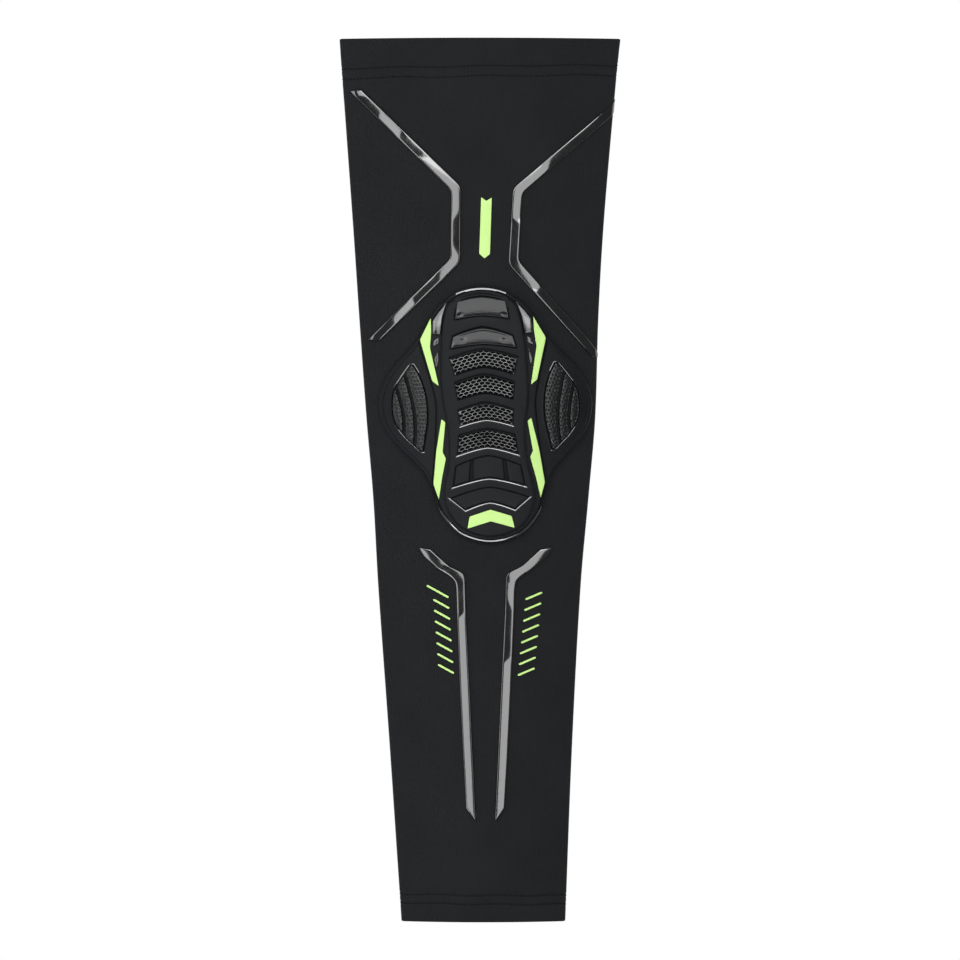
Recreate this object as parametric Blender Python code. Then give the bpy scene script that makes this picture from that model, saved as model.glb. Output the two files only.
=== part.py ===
"""Padded elbow sleeve: a knitted tube with a moulded elbow pad, lying on its back.

Metres, +Z up. +Y runs to the upper-arm end, +X to the right as the pad is looked at,
and the origin is under the middle of the sleeve, on the surface that it lies on.

A piece on the sleeve is first made flat, in the outline that it shows from above, with
its height above the cloth as z. lay_on_sleeve() then bends it onto the tube.
"""

import math

import bmesh
import bpy
from mathutils import Matrix, Vector

# Sleeve
SLEEVE_LENGTH = 0.400
UPPER_WIDTH = 0.1274  # flat width at the upper-arm opening
LOWER_WIDTH = 0.0743  # flat width at the wrist opening
CROWN_HEIGHT = 0.0175  # how high the relaxed tube stands under the pad
FOLD_RADIUS = 0.0026  # outer radius of the two side folds
CLOTH = 0.0012
HEM_EXTRA = 0.0009  # the cloth turned under at each opening
UPPER_HEM = 0.0175
LOWER_HEM = 0.0123
HEM_STEP = 0.0006

# Sections of the sleeve from the upper opening down: share of the length, share of the
# way from the lower to the upper width, share of the crown height, and sideways drift
# as a share of the upper width
SECTIONS = (
    (0.00, 1.000, 0.82, 0.000),
    (0.10, 0.872, 0.85, -0.004),
    (0.22, 0.732, 0.92, -0.006),
    (0.32, 0.640, 0.98, -0.004),
    (0.43, 0.555, 1.00, 0.003),
    (0.52, 0.440, 0.99, 0.003),
    (0.62, 0.330, 0.93, -0.002),
    (0.80, 0.160, 0.83, 0.003),
    (1.00, 0.000, 0.80, 0.012),
)

# Facets of the sleeve, and of what is bent onto it
ARCH_STEPS = 18
FOLD_STEPS = 5
BACK_STEPS = 8
LENGTH_STEPS = 16
SLICE_ACROSS = 0.010
SLICE_ALONG = 0.020
FOLD_SLICE = 0.0012

# Elbow pad
PAD_LENGTH = 0.1155
PAD_WIDTH = 0.0964
PAD_ACROSS = 0.0028
PAD_ALONG = 0.0294
PAD_TURN = math.radians(1.0)
PAD_LEAN = 0.026  # how far the pad's axis leans to the left for each metre up it
SEAT_GAP = 0.0003  # between a piece and what carries it
SIDE_GAP = 0.0003  # round a piece in its recess
FLANGE = 0.0025
RIM_WIDTH = 0.0021
RIM_RISE = 0.0006
RIM_EDGE = 0.0005
SPINE_SEAT = 0.0011  # how deep the spine sits in the flange
SHOULDER_RISE = 0.0022
SHOULDER_EDGE = 0.0006
RAIL_RISE = 0.0026
RAIL_EDGE = 0.0009
CROWN_FALL = 0.25  # share of its rise that the spine loses at the pad's ends

# Pieces in and on the pad
WINDOW_DEPTH = 0.0018
PANEL_PROUD = 0.0004
PANEL_EDGE = 0.0005
BLOCK_SPLIT = 0.160  # where the blocks part, as a share of the pad's half width
BLOCK_GROOVE = 0.0012
WING_DEPTH = 0.0012
RIB_PROUD = 0.0007
RIB_EDGE = 0.0004
RIB_GROOVE = 0.0012
RIB_LEAST_WIDTH = 0.0005
INLAY = 0.0007
INLAY_EDGE = 0.0002

# Film pressed on the sleeve
STRIP = 0.0011
STRIP_EDGE = 0.0004
PRINT = 0.0005
PRINT_EDGE = 0.0001
UPPER_STRIP_REACH = 0.0632  # from the motif's axis to a strip's outer tip
UPPER_STRIP_LENGTH = 0.1130
UPPER_MOTIF_ACROSS = 0.0026
UPPER_MOTIF_ALONG = 0.1182
UPPER_MOTIF_TURN = math.radians(-1.9)
RIGHT_TIP_RUN = 0.0060  # how much further the right strip's lower tip runs
TIP_WRAP = 0.0040  # how far a strip's tip may run round the sleeve's fold
ARROW_LENGTH = 0.0276
ARROW_WIDTH = 0.0048
ARROW_NOTCH = 0.0016
ARROW_POINT = 0.0020
ARROW_DROP = 0.0043  # from the motif's middle down to the arrow's
LOWER_STRIP_REACH = 0.0295
LOWER_STRIP_LENGTH = 0.1234
LOWER_MOTIF_ACROSS = 0.0024
LOWER_MOTIF_ALONG = -0.0923
DASHES = 8
DASH_LENGTH = 0.0082
DASH_WIDTH = 0.0009
DASH_PITCH = 0.0049
DASH_END_STEPS = 2
# The ladders of dashes: side, sign, how far out from the motif's axis and how far up the
# middle of the top dash lies, how much nearer to the axis each dash is than the last,
# the slant in degrees, and how much further out the top dash runs than the others
DASH_LADDERS = (
    ("right", 1, 0.0218, 0.0399, 0.00049, 23, 0.0),
    ("left", -1, 0.0201, 0.0412, 0.00035, 29, 0.0030),
)

# Right halves of the pad's outlines, from the top down, as shares of its half width
# and half length
PAD_OUTLINE = (
    (0.000, 1.000),
    (0.120, 0.990),
    (0.240, 0.958),
    (0.330, 0.905),
    (0.425, 0.840),
    (0.549, 0.682),
    (0.672, 0.542),
    (0.819, 0.416),
    (0.927, 0.291),
    (0.989, 0.158),
    (1.000, 0.070),
    (0.960, -0.078),
    (0.851, -0.220),
    (0.728, -0.329),
    (0.616, -0.431),
    (0.548, -0.543),
    (0.504, -0.667),
    (0.450, -0.784),
    (0.311, -0.918),
    (0.155, -0.980),
    (0.000, -1.000),
)
SHOULDER_OUTLINE = (
    (0.000, 0.975),
    (0.225, 0.932),
    (0.405, 0.812),
    (0.525, 0.670),
    (0.596, 0.590),
    (0.560, 0.440),
    (0.506, 0.270),
    (0.470, 0.130),
    (0.466, 0.015),
    (0.490, -0.250),
    (0.528, -0.535),
    (0.482, -0.665),
    (0.428, -0.775),
    (0.296, -0.900),
    (0.148, -0.958),
    (0.000, -0.976),
)
RAIL_OUTLINE = (
    (0.000, 0.955),
    (0.225, 0.912),
    (0.315, 0.868),
    (0.361, 0.762),
    (0.385, 0.667),
    (0.400, 0.509),
    (0.410, 0.353),
    (0.412, 0.225),
    (0.398, 0.070),
    (0.368, -0.070),
    (0.362, -0.242),
    (0.378, -0.400),
    (0.415, -0.537),
    (0.430, -0.641),
    (0.392, -0.760),
    (0.290, -0.872),
    (0.145, -0.935),
    (0.000, -0.953),
)

# The windows of the spine: name, top and bottom on the axis, half widths at the top
# and bottom, and how far those edges fall away at their ends
WINDOWS = (
    ("cap_panel", 0.930, 0.772, 0.230, 0.256, 0.033, 0.028),
    ("brow_panel", 0.691, 0.548, 0.284, 0.311, 0.070, 0.030),
    ("honeycomb_panel_1", 0.518, 0.372, 0.323, 0.278, 0.066, 0.060),
    ("honeycomb_panel_2", 0.322, 0.168, 0.282, 0.259, 0.066, 0.050),
    ("honeycomb_panel_3", 0.102, -0.035, 0.263, 0.245, 0.062, 0.048),
    ("honeycomb_panel_4", -0.106, -0.251, 0.263, 0.286, 0.050, 0.062),
    ("block_panel", -0.318, -0.494, 0.305, 0.340, 0.079, 0.066),
    ("toe_panel", -0.565, -0.682, 0.367, 0.232, 0.083, 0.060),
)
WINDOW_BOW = 1.4  # power of the curve that the windows' edges fall away on
WINDOW_STEPS = 3

# A wing's leaf from the bottom up: height, then how far out its inner edge, its two
# grooves and its outer edge lie
WING_ROWS = (
    (-0.293, 0.606, 0.700, 0.810, 0.606),
    (-0.225, 0.589, 0.685, 0.795, 0.693),
    (-0.156, 0.573, 0.674, 0.782, 0.774),
    (-0.040, 0.548, 0.670, 0.774, 0.862),
    (0.078, 0.546, 0.681, 0.790, 0.880),
    (0.199, 0.564, 0.710, 0.822, 0.859),
    (0.312, 0.608, 0.742, 0.860, 0.772),
    (0.416, 0.676, 0.780, 0.900, 0.676),
)
WING_STEPS = 15

# Right-hand pieces on the spine's shoulder, and half of the chevron on the toe
SHOULDER_PIECES = (
    ("upper_slash", ((0.479, 0.765), (0.590, 0.596), (0.491, 0.270), (0.431, 0.230),
                     (0.499, 0.530), (0.481, 0.658))),
    ("lower_slash", ((0.421, -0.028), (0.385, -0.052), (0.423, -0.287), (0.394, -0.334),
                     (0.440, -0.493), (0.477, -0.655), (0.522, -0.535), (0.483, -0.282))),
    ("flank_panel", ((0.328, 0.880), (0.408, 0.803), (0.462, 0.742), (0.468, 0.640),
                     (0.400, 0.632), (0.374, 0.770))),
    ("flank_claw_1", ((0.414, 0.612), (0.462, 0.585), (0.470, 0.540), (0.414, 0.565))),
    ("flank_claw_2", ((0.424, 0.515), (0.464, 0.440), (0.448, 0.360), (0.424, 0.430))),
)
CHEVRON = ((0.000, -0.741), (0.197, -0.793), (0.220, -0.886), (0.000, -0.832))

# Right-hand strips: shares of the reach from the axis, and of half the length
UPPER_STRIP = (
    (1.000, 0.989),
    (0.918, 1.000),
    (0.186, 0.250),
    (0.171, -0.359),
    (0.722, -0.997),
    (0.808, -1.000),
    (0.240, -0.332),
    (0.252, 0.216),
)
LOWER_TIP = (4, 5)  # which of the upper strip's corners are its lower tip
LOWER_STRIP = (
    (1.000, 1.000),
    (0.834, 0.987),
    (0.556, 0.864),
    (0.356, 0.820),
    (0.312, 0.799),
    (0.298, 0.541),
    (0.237, -0.045),
    (0.188, -0.559),
    (0.147, -1.000),
    (0.288, -0.909),
    (0.331, -0.559),
    (0.383, -0.045),
    (0.431, 0.541),
    (0.444, 0.739),
    (0.492, 0.775),
    (0.576, 0.806),
    (0.708, 0.840),
    (0.800, 0.885),
    (0.949, 0.942),
)

# Levels above the cloth
FLANGE_TOP = SEAT_GAP + FLANGE
SPINE_FLOOR = FLANGE_TOP - SPINE_SEAT
SHOULDER_TOP = FLANGE_TOP + SHOULDER_RISE
RAIL_TOP = SHOULDER_TOP + RAIL_RISE
WINDOW_FLOOR = RAIL_TOP - WINDOW_DEPTH
WING_FLOOR = FLANGE_TOP - WING_DEPTH
PAD_SCALE = Vector((PAD_WIDTH / 2, PAD_LENGTH / 2))
PIECES = "padded_elbow_sleeve"
CUTTERS = "cutters"


def curved(rows, at, column):
    """A table's column between its rows, on a smooth curve; the first column ascends."""
    last = len(rows) - 1
    index = 0
    while index < last - 1 and at > rows[index + 1][0]:
        index += 1
    here, there = rows[index], rows[index + 1]
    before, after = rows[max(index - 1, 0)], rows[min(index + 2, last)]
    span = there[0] - here[0]
    share = (at - here[0]) / span
    rise_here = (there[column] - before[column]) / (there[0] - before[0]) * span
    rise_there = (after[column] - here[column]) / (after[0] - here[0]) * span
    square, cube = share**2, share**3
    return (
        (2 * cube - 3 * square + 1) * here[column]
        + (cube - 2 * square + share) * rise_here
        + (3 * square - 2 * cube) * there[column]
        + (cube - square) * rise_there
    )


class Section:
    """The tube's outer face at one place along it: a flat back, two folds and an arch."""

    def __init__(self, along):
        down = min(1.0, max(0.0, 0.5 - along / SLEEVE_LENGTH))
        widening = curved(SECTIONS, down, 1)
        self.middle = curved(SECTIONS, down, 3) * UPPER_WIDTH
        half = (LOWER_WIDTH + (UPPER_WIDTH - LOWER_WIDTH) * widening) / 2
        height = CROWN_HEIGHT * curved(SECTIONS, down, 2)
        self.fold_centre = half - FOLD_RADIUS
        rise = height - FOLD_RADIUS
        self.radius = (self.fold_centre**2 + rise**2 - FOLD_RADIUS**2) / (
            2 * (height - 2 * FOLD_RADIUS)
        )
        self.centre_height = height - self.radius
        self.arch_angle = math.asin(self.fold_centre / (self.radius - FOLD_RADIUS))
        self.arch_reach = self.radius * math.sin(self.arch_angle)
        self.fold_length = FOLD_RADIUS * (math.pi - self.arch_angle)
        self.girth = self.arch_reach + self.fold_length + self.fold_centre

    def point(self, across, height, upright):
        """(x, z) of a place on the tube. From the middle, across is measured level over
        the arch, then round the fold and back under the tube."""
        side = math.copysign(1, across)
        reach = abs(across)
        past_arch = reach - self.arch_reach
        if past_arch <= 0:
            angle = math.asin(reach / self.radius)
            lean = 0 if upright else angle
            x = reach + height * math.sin(lean)
            z = self.centre_height + self.radius * math.cos(angle) + height * math.cos(lean)
        elif past_arch <= self.fold_length:
            angle = self.arch_angle + past_arch / FOLD_RADIUS
            x = self.fold_centre + (FOLD_RADIUS + height) * math.sin(angle)
            z = FOLD_RADIUS + (FOLD_RADIUS + height) * math.cos(angle)
        else:
            x = self.girth - reach
            z = -height
        return self.middle + side * x, z

    def stops(self):
        """Where the ring's corners lie, across, from the top of the arch right round."""
        arch = [self.arch_reach * i * 2 / ARCH_STEPS for i in range(ARCH_STEPS // 2)]
        fold = [self.arch_reach + self.fold_length * i / FOLD_STEPS for i in range(FOLD_STEPS)]
        under = self.girth - self.fold_centre
        back = [under + self.fold_centre * i * 2 / BACK_STEPS for i in range(BACK_STEPS // 2)]
        right = arch + fold + back
        return right + [self.girth] + [-stop for stop in reversed(right[1:])]


def material(name, colour, roughness):
    """A plain finish: sRGB colour as shares, and roughness."""
    made = bpy.data.materials.new(name)
    made.use_nodes = True
    shader = made.node_tree.nodes["Principled BSDF"]
    linear = [channel**2.2 for channel in colour]
    shader.inputs["Base Color"].default_value = (*linear, 1)
    shader.inputs["Roughness"].default_value = roughness
    shader.inputs["Metallic"].default_value = 0
    return made


def new_object(name, mesh, finish=None):
    """An object in the part's collection, or among the cutters if it has no finish."""
    made = bpy.data.objects.new(name, mesh)
    bpy.data.collections[PIECES if finish else CUTTERS].objects.link(made)
    if finish:
        mesh.materials.clear()
        mesh.materials.append(finish)
    else:
        made.hide_render = True
        made.display_type = "WIRE"
    return made


def evaluated_mesh(holder):
    """The mesh that an object shows, with its modifiers applied."""
    shown = holder.evaluated_get(bpy.context.evaluated_depsgraph_get())
    return bpy.data.meshes.new_from_object(shown)


def mirrored(points):
    """A right-hand outline made left-hand."""
    return [(-x, y) for x, y in reversed(points)]


def whole(half):
    """A full outline from its right half, whose ends lie on the axis."""
    return list(half) + mirrored(half[1:-1])


def sized(points, scale):
    return [(x * scale[0], y * scale[1]) for x, y in points]


def rounded(points, steps):
    """A closed outline through the points, curved between them."""
    result = []
    for index in range(len(points)):
        a, b, c, d = (Vector(points[(index + k) % len(points)]) for k in (-1, 0, 1, 2))
        for step in range(steps):
            t = step / steps
            bend = (2 * a - 5 * b + 4 * c - d) * t**2 + (3 * b - a - 3 * c + d) * t**3
            result.append(tuple(b + ((c - a) * t + bend) / 2))
    return result


def grown(points, distance):
    """An outline with its edges moved outwards, or inwards by a negative distance."""
    corners = [Vector(point) for point in points]
    area = sum(a.cross(b) for a, b in zip(corners, corners[1:] + corners[:1]))
    turn = math.copysign(1, area)
    result = []
    for before, here, after in zip(corners[-1:] + corners, corners, corners[1:] + corners[:1]):
        into, out = (here - before).normalized(), (after - here).normalized()
        normal_in = Vector((into.y, -into.x)) * turn
        normal_out = Vector((out.y, -out.x)) * turn
        bisector = (normal_in + normal_out).normalized()
        result.append(tuple(here + bisector * distance / bisector.dot(normal_in)))
    return result


def plate(name, outline, bottom, top, edge=0.0, finish=None):
    """A flat piece between two heights, with its upper edge chamfered."""
    curve = bpy.data.curves.new(name, "CURVE")
    curve.dimensions = "2D"
    curve.fill_mode = "BOTH"
    curve.extrude = (top - bottom) / 2
    spline = curve.splines.new("POLY")
    spline.points.add(len(outline) - 1)
    for point, (x, y) in zip(spline.points, outline):
        point.co = (x, y, 0, 1)
    spline.use_cyclic_u = True
    holder = bpy.data.objects.new(name, curve)
    bpy.context.scene.collection.objects.link(holder)
    mesh = evaluated_mesh(holder)
    bpy.data.objects.remove(holder)
    bpy.data.curves.remove(curve)
    shape = bmesh.new()
    shape.from_mesh(mesh)
    bmesh.ops.remove_doubles(shape, verts=shape.verts, dist=1e-6)
    bmesh.ops.dissolve_limit(
        shape, angle_limit=math.radians(0.5), verts=shape.verts, edges=shape.edges
    )
    bmesh.ops.translate(shape, verts=shape.verts, vec=(0, 0, (bottom + top) / 2))
    if edge:
        chamfer_top(shape, edge)
    bmesh.ops.recalc_face_normals(shape, faces=shape.faces)
    shape.to_mesh(mesh)
    shape.free()
    return new_object(name, mesh, finish)


def chamfer_top(shape, edge):
    lids = [face for face in shape.faces if face.normal.z > 0.5]
    rim = [side for lid in lids for side in lid.edges]
    bmesh.ops.bevel(
        shape,
        geom=rim,
        offset=edge,
        offset_type="OFFSET",
        segments=1,
        profile=0.5,
        affect="EDGES",
        clamp_overlap=True,
        material=-1,
    )


def combine(piece, operation, other):
    """Join the other object to the piece, or cut it out, and use it up."""
    modifier = piece.modifiers.new(other.name, "BOOLEAN")
    modifier.operation = operation
    modifier.object = other
    used = piece.data
    piece.data = evaluated_mesh(piece)
    piece.modifiers.clear()
    bpy.data.meshes.remove(used)
    bpy.data.objects.remove(other)


def slice_flat(shape):
    """Cut a flat piece's faces where it will bend."""
    for axis, pitch in ((0, SLICE_ACROSS), (1, SLICE_ALONG)):
        low = min(vert.co[axis] for vert in shape.verts)
        high = max(vert.co[axis] for vert in shape.verts)
        for step in range(math.ceil(low / pitch), math.floor(high / pitch) + 1):
            slice_at(shape, axis, step * pitch)


def slice_at(shape, axis, place):
    point, normal = Vector(), Vector()
    point[axis] = place
    normal[axis] = 1
    every = shape.verts[:] + shape.edges[:] + shape.faces[:]
    bmesh.ops.bisect_plane(shape, geom=every, dist=1e-5, plane_co=point, plane_no=normal)


def slice_folds(shape):
    """Cut a piece's faces finely where it runs round the tube's folds."""
    for side in (1, -1):
        reach = max(vert.co.x * side for vert in shape.verts)
        start = min(
            Section(vert.co.y).middle * side + Section(vert.co.y).arch_reach
            for vert in shape.verts
        )
        for step in range(math.ceil((reach - start) / FOLD_SLICE)):
            slice_at(shape, 0, side * (start + step * FOLD_SLICE))


def lay_on_sleeve(piece, across, along, turn=0.0, upright=False):
    """Put a flat piece in its place, bend it onto the tube and shade it smooth."""
    shape = bmesh.new()
    shape.from_mesh(piece.data)
    place = Matrix.Translation((across, along, 0)) @ Matrix.Rotation(turn, 4, "Z")
    shape.transform(place)
    slice_flat(shape)
    if not upright:
        slice_folds(shape)
    bmesh.ops.triangulate(shape, faces=shape.faces)
    for vert in shape.verts:
        section = Section(vert.co.y)
        x, z = section.point(vert.co.x - section.middle, vert.co.z, upright)
        vert.co = (x, vert.co.y, z)
    shape.to_mesh(piece.data)
    shape.free()
    piece.data.shade_smooth()
    piece.data.set_sharp_from_angle(angle=math.radians(30))


def lay_on_pad(piece):
    """Let a piece of the pad fall away to the pad's ends, lean it over a little with the
    pad's axis, and lay it on the sleeve."""
    shape = bmesh.new()
    shape.from_mesh(piece.data)
    slice_flat(shape)
    for vert in shape.verts:
        above = vert.co.z - FLANGE_TOP
        if above > 0:
            fall = CROWN_FALL * (vert.co.y / PAD_SCALE.y) ** 2
            vert.co.z = FLANGE_TOP + above * (1 - fall)
        vert.co.x -= PAD_LEAN * vert.co.y
    shape.to_mesh(piece.data)
    shape.free()
    lay_on_sleeve(piece, PAD_ACROSS, PAD_ALONG, PAD_TURN, upright=True)


def ring(shape, along, inward):
    """A closed ring of corners at one place along the tube, on or inside its outer face."""
    section = Section(along)
    places = (section.point(stop, -inward, False) for stop in section.stops())
    return [shape.verts.new((x, along, z)) for x, z in places]


def sleeve_stations():
    """Places along the tube, from the upper opening down, with the wall's thickness."""
    end = SLEEVE_LENGTH / 2
    hem = CLOTH + HEM_EXTRA
    top, bottom = end - UPPER_HEM, LOWER_HEM - end
    first, last = top - HEM_STEP, bottom + HEM_STEP
    body = [first + (last - first) * i / LENGTH_STEPS for i in range(LENGTH_STEPS + 1)]
    hems = [(end, hem), (top, hem)], [(bottom, hem), (-end, hem)]
    return hems[0] + [(along, CLOTH) for along in body] + hems[1]


def make_sleeve(finish):
    """The tube's wall, lofted down its outer face and back up its inner one."""
    shape = bmesh.new()
    stations = sleeve_stations()
    rings = [ring(shape, along, 0) for along, _ in stations]
    rings += [ring(shape, along, wall) for along, wall in reversed(stations)]
    for upper, lower in zip(rings, rings[1:] + rings[:1]):
        for index in range(len(upper)):
            after = (index + 1) % len(upper)
            shape.faces.new((upper[index], upper[after], lower[after], lower[index]))
    bmesh.ops.triangulate(shape, faces=shape.faces)
    bmesh.ops.recalc_face_normals(shape, faces=shape.faces)
    mesh = bpy.data.meshes.new("sleeve")
    shape.to_mesh(mesh)
    shape.free()
    mesh.shade_smooth()
    mesh.set_sharp_from_angle(angle=math.radians(40))
    new_object("sleeve", mesh, finish)


def shoulder_outline():
    return rounded(sized(whole(SHOULDER_OUTLINE), PAD_SCALE), 1)


def make_pad_base(finish):
    """The pad's flange, with a raised rim, a seat for the spine and a leaf in each wing."""
    outline = rounded(sized(whole(PAD_OUTLINE), PAD_SCALE), 2)
    rim_top = FLANGE_TOP + RIM_RISE
    base = plate("pad_base", outline, SEAT_GAP, rim_top, RIM_EDGE, finish)
    inside = grown(outline, -RIM_WIDTH)
    seat = grown(shoulder_outline(), SIDE_GAP)
    leaf = wing_outline(1, 4, 0, 0)
    combine(base, "DIFFERENCE", plate("rim_cutter", inside, FLANGE_TOP, RAIL_TOP))
    combine(base, "DIFFERENCE", plate("seat_cutter", seat, SPINE_FLOOR, RAIL_TOP))
    combine(base, "DIFFERENCE", plate("leaf_cutter_right", leaf, WING_FLOOR, RAIL_TOP))
    combine(base, "DIFFERENCE", plate("leaf_cutter_left", mirrored(leaf), WING_FLOOR, RAIL_TOP))
    lay_on_pad(base)


def wing_outline(low_column, high_column, low_gap, high_gap):
    """The part of a wing's leaf between two of its curves, down to a least width."""
    bottom, top = WING_ROWS[0][0], WING_ROWS[-1][0]
    low_side, high_side = [], []
    for step in range(WING_STEPS + 1):
        up = bottom + (top - bottom) * step / WING_STEPS
        inner = curved(WING_ROWS, up, low_column) * PAD_SCALE.x + low_gap
        outer = curved(WING_ROWS, up, high_column) * PAD_SCALE.x - high_gap
        edge = curved(WING_ROWS, up, 4) * PAD_SCALE.x - min(high_gap, SIDE_GAP)
        outer = min(outer, edge)
        if outer - inner > RIB_LEAST_WIDTH:
            low_side.append((inner, up * PAD_SCALE.y))
            high_side.append((outer, up * PAD_SCALE.y))
    return low_side + high_side[::-1]


def make_wing_ribs(finish):
    """Three curved ribs in each wing's leaf, parted by two grooves."""
    groove = RIB_GROOVE / 2
    spans = ((1, 2, SIDE_GAP, groove), (2, 3, groove, groove), (3, 4, groove, SIDE_GAP))
    for number, span in enumerate(spans, 1):
        right = wing_outline(*span)
        for side, outline in (("right", right), ("left", mirrored(right))):
            name = f"wing_rib_{side}_{number}"
            floor, top = WING_FLOOR + SEAT_GAP, FLANGE_TOP + RIB_PROUD
            lay_on_pad(plate(name, outline, floor, top, RIB_EDGE, finish))


def window_outline(row, inset):
    """A window's outline: bowed top and bottom edges, straight sides."""
    _, top, bottom, top_half, bottom_half, top_fall, bottom_fall = row
    stops = [i / WINDOW_STEPS for i in range(-WINDOW_STEPS, WINDOW_STEPS + 1)]
    upper = [(top_half * s, top - top_fall * abs(s) ** WINDOW_BOW) for s in stops]
    lower = [(bottom_half * s, bottom - bottom_fall * abs(s) ** WINDOW_BOW) for s in stops]
    return grown(sized(upper + lower[::-1], PAD_SCALE), -inset)


def make_pad_spine(finish):
    """The raised spine: a shoulder, rails on it, and a row of windows through the rails."""
    seat = SPINE_FLOOR + SEAT_GAP
    spine = plate("pad_spine", shoulder_outline(), seat, SHOULDER_TOP, SHOULDER_EDGE, finish)
    outline = rounded(sized(whole(RAIL_OUTLINE), PAD_SCALE), 1)
    middle = (seat + SHOULDER_TOP) / 2
    combine(spine, "UNION", plate("rails", outline, middle, RAIL_TOP, RAIL_EDGE))
    above = RAIL_TOP + RAIL_RISE
    for row in WINDOWS:
        cutter = plate(f"{row[0]}_cutter", window_outline(row, 0), WINDOW_FLOOR, above)
        combine(spine, "DIFFERENCE", cutter)
    lay_on_pad(spine)


def make_window_panels(finishes):
    """The pieces in the spine's windows; the block panel is three blocks."""
    floor, top = WINDOW_FLOOR + SEAT_GAP, RAIL_TOP + PANEL_PROUD
    for row in WINDOWS:
        name, outline = row[0], window_outline(row, SIDE_GAP)
        if name == "block_panel":
            for side, part in block_outlines(outline):
                block = plate(f"{name}_{side}", part, floor, top, PANEL_EDGE, finishes[name])
                lay_on_pad(block)
        else:
            lay_on_pad(plate(name, outline, floor, top, PANEL_EDGE, finishes[name]))


def block_outlines(outline):
    """The block panel's outline parted by two grooves into right, middle and left."""
    split = BLOCK_SPLIT * PAD_SCALE.x
    inner, outer = split - BLOCK_GROOVE / 2, split + BLOCK_GROOVE / 2
    right = clipped(outline, outer, 1)
    middle = clipped(clipped(outline, inner, -1), -inner, 1)
    return (("right", right), ("middle", middle), ("left", mirrored(right)))


def clipped(outline, at, side):
    """The part of an outline on one side of a line along the pad; 1 keeps the right."""
    result = []
    for (x, y), (next_x, next_y) in zip(outline, outline[1:] + outline[:1]):
        if (x - at) * side >= 0:
            result.append((x, y))
        if (x - at) * (next_x - at) < 0:
            share = (at - x) / (next_x - x)
            result.append((at, y + (next_y - y) * share))
    return result


def make_shoulder_pieces(finishes):
    """Coloured slashes, gloss panels and claws on both sides of the spine's shoulder."""
    bottom = SHOULDER_TOP + SEAT_GAP
    for name, shares in SHOULDER_PIECES:
        right = sized(shares, PAD_SCALE)
        stem, _, number = name.rpartition("_")
        for side, outline in (("right", right), ("left", mirrored(right))):
            label = f"{stem}_{side}_{number}" if number.isdigit() else f"{name}_{side}"
            finish = finishes[name.split("_")[1]]
            lay_on_pad(plate(label, outline, bottom, bottom + INLAY, INLAY_EDGE, finish))


def make_chevron(finish):
    bottom = RAIL_TOP + SEAT_GAP
    outline = sized(whole(CHEVRON), PAD_SCALE)
    lay_on_pad(plate("chevron", outline, bottom, bottom + INLAY, INLAY_EDGE, finish))


def trim_at_folds(piece, across, along, turn):
    """Cut off a flat strip's tips where they would run on round the sleeve's folds."""
    shape = bmesh.new()
    shape.from_mesh(piece.data)
    place = Matrix.Translation((across, along, 0)) @ Matrix.Rotation(turn, 4, "Z")
    shape.transform(place)
    slice_at(shape, 1, along)
    for side in (1, -1):
        for way in (1, -1):
            middle = fold_limit(along, side)
            run = fold_limit(along + way * UPPER_STRIP_LENGTH / 2, side) - middle
            outward = Vector((run.y, -run.x, 0)) * side * way
            half = [face for face in shape.faces if (face.calc_center_median().y - along) * way > 0]
            cut_away(shape, half, middle, outward)
    shape.transform(place.inverted())
    shape.to_mesh(piece.data)
    shape.free()


def fold_limit(along, side):
    """The place on one fold that a strip's tip may reach."""
    section = Section(along)
    return Vector((section.middle + side * (section.arch_reach + TIP_WRAP), along, 0))


def cut_away(shape, faces, point, outward):
    """Cut off what these faces have beyond a plane, and close the cut."""
    edges = {edge for face in faces for edge in face.edges}
    verts = {vert for face in faces for vert in face.verts}
    cut = bmesh.ops.bisect_plane(
        shape,
        geom=[*verts, *edges, *faces],
        plane_co=point,
        plane_no=outward,
        clear_outer=True,
    )
    rim = [part for part in cut["geom_cut"] if isinstance(part, bmesh.types.BMEdge)]
    if rim:
        bmesh.ops.holes_fill(shape, edges=rim)


def run_on(outline):
    """The upper strip's outline with its lower tip moved on along its arm."""
    arm = Vector(outline[LOWER_TIP[0]]) - Vector(outline[LOWER_TIP[0] - 1])
    step = arm.normalized() * RIGHT_TIP_RUN
    moved = [tuple(Vector(outline[index]) + step) for index in LOWER_TIP]
    return outline[: LOWER_TIP[0]] + moved + outline[LOWER_TIP[1] + 1 :]


def make_upper_motif(film, print_finish):
    """Two bent strips above the pad and the arrow between them."""
    place = (UPPER_MOTIF_ACROSS, UPPER_MOTIF_ALONG, UPPER_MOTIF_TURN)
    right = sized(UPPER_STRIP, (UPPER_STRIP_REACH, UPPER_STRIP_LENGTH / 2))
    top = SEAT_GAP + STRIP
    for side, outline in (("right", run_on(right)), ("left", mirrored(right))):
        strip = plate(f"upper_strip_{side}", outline, SEAT_GAP, top, STRIP_EDGE, film)
        trim_at_folds(strip, *place)
        lay_on_sleeve(strip, *place)
    half, end = ARROW_WIDTH / 2, ARROW_LENGTH / 2
    right = (
        (0, end - ARROW_NOTCH),
        (half, end),
        (half, ARROW_POINT - end),
        (0, -end),
    )
    outline = [(x, y - ARROW_DROP) for x, y in whole(right)]
    arrow = plate("arrow", outline, SEAT_GAP, SEAT_GAP + PRINT, PRINT_EDGE, print_finish)
    lay_on_sleeve(arrow, *place)


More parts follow.
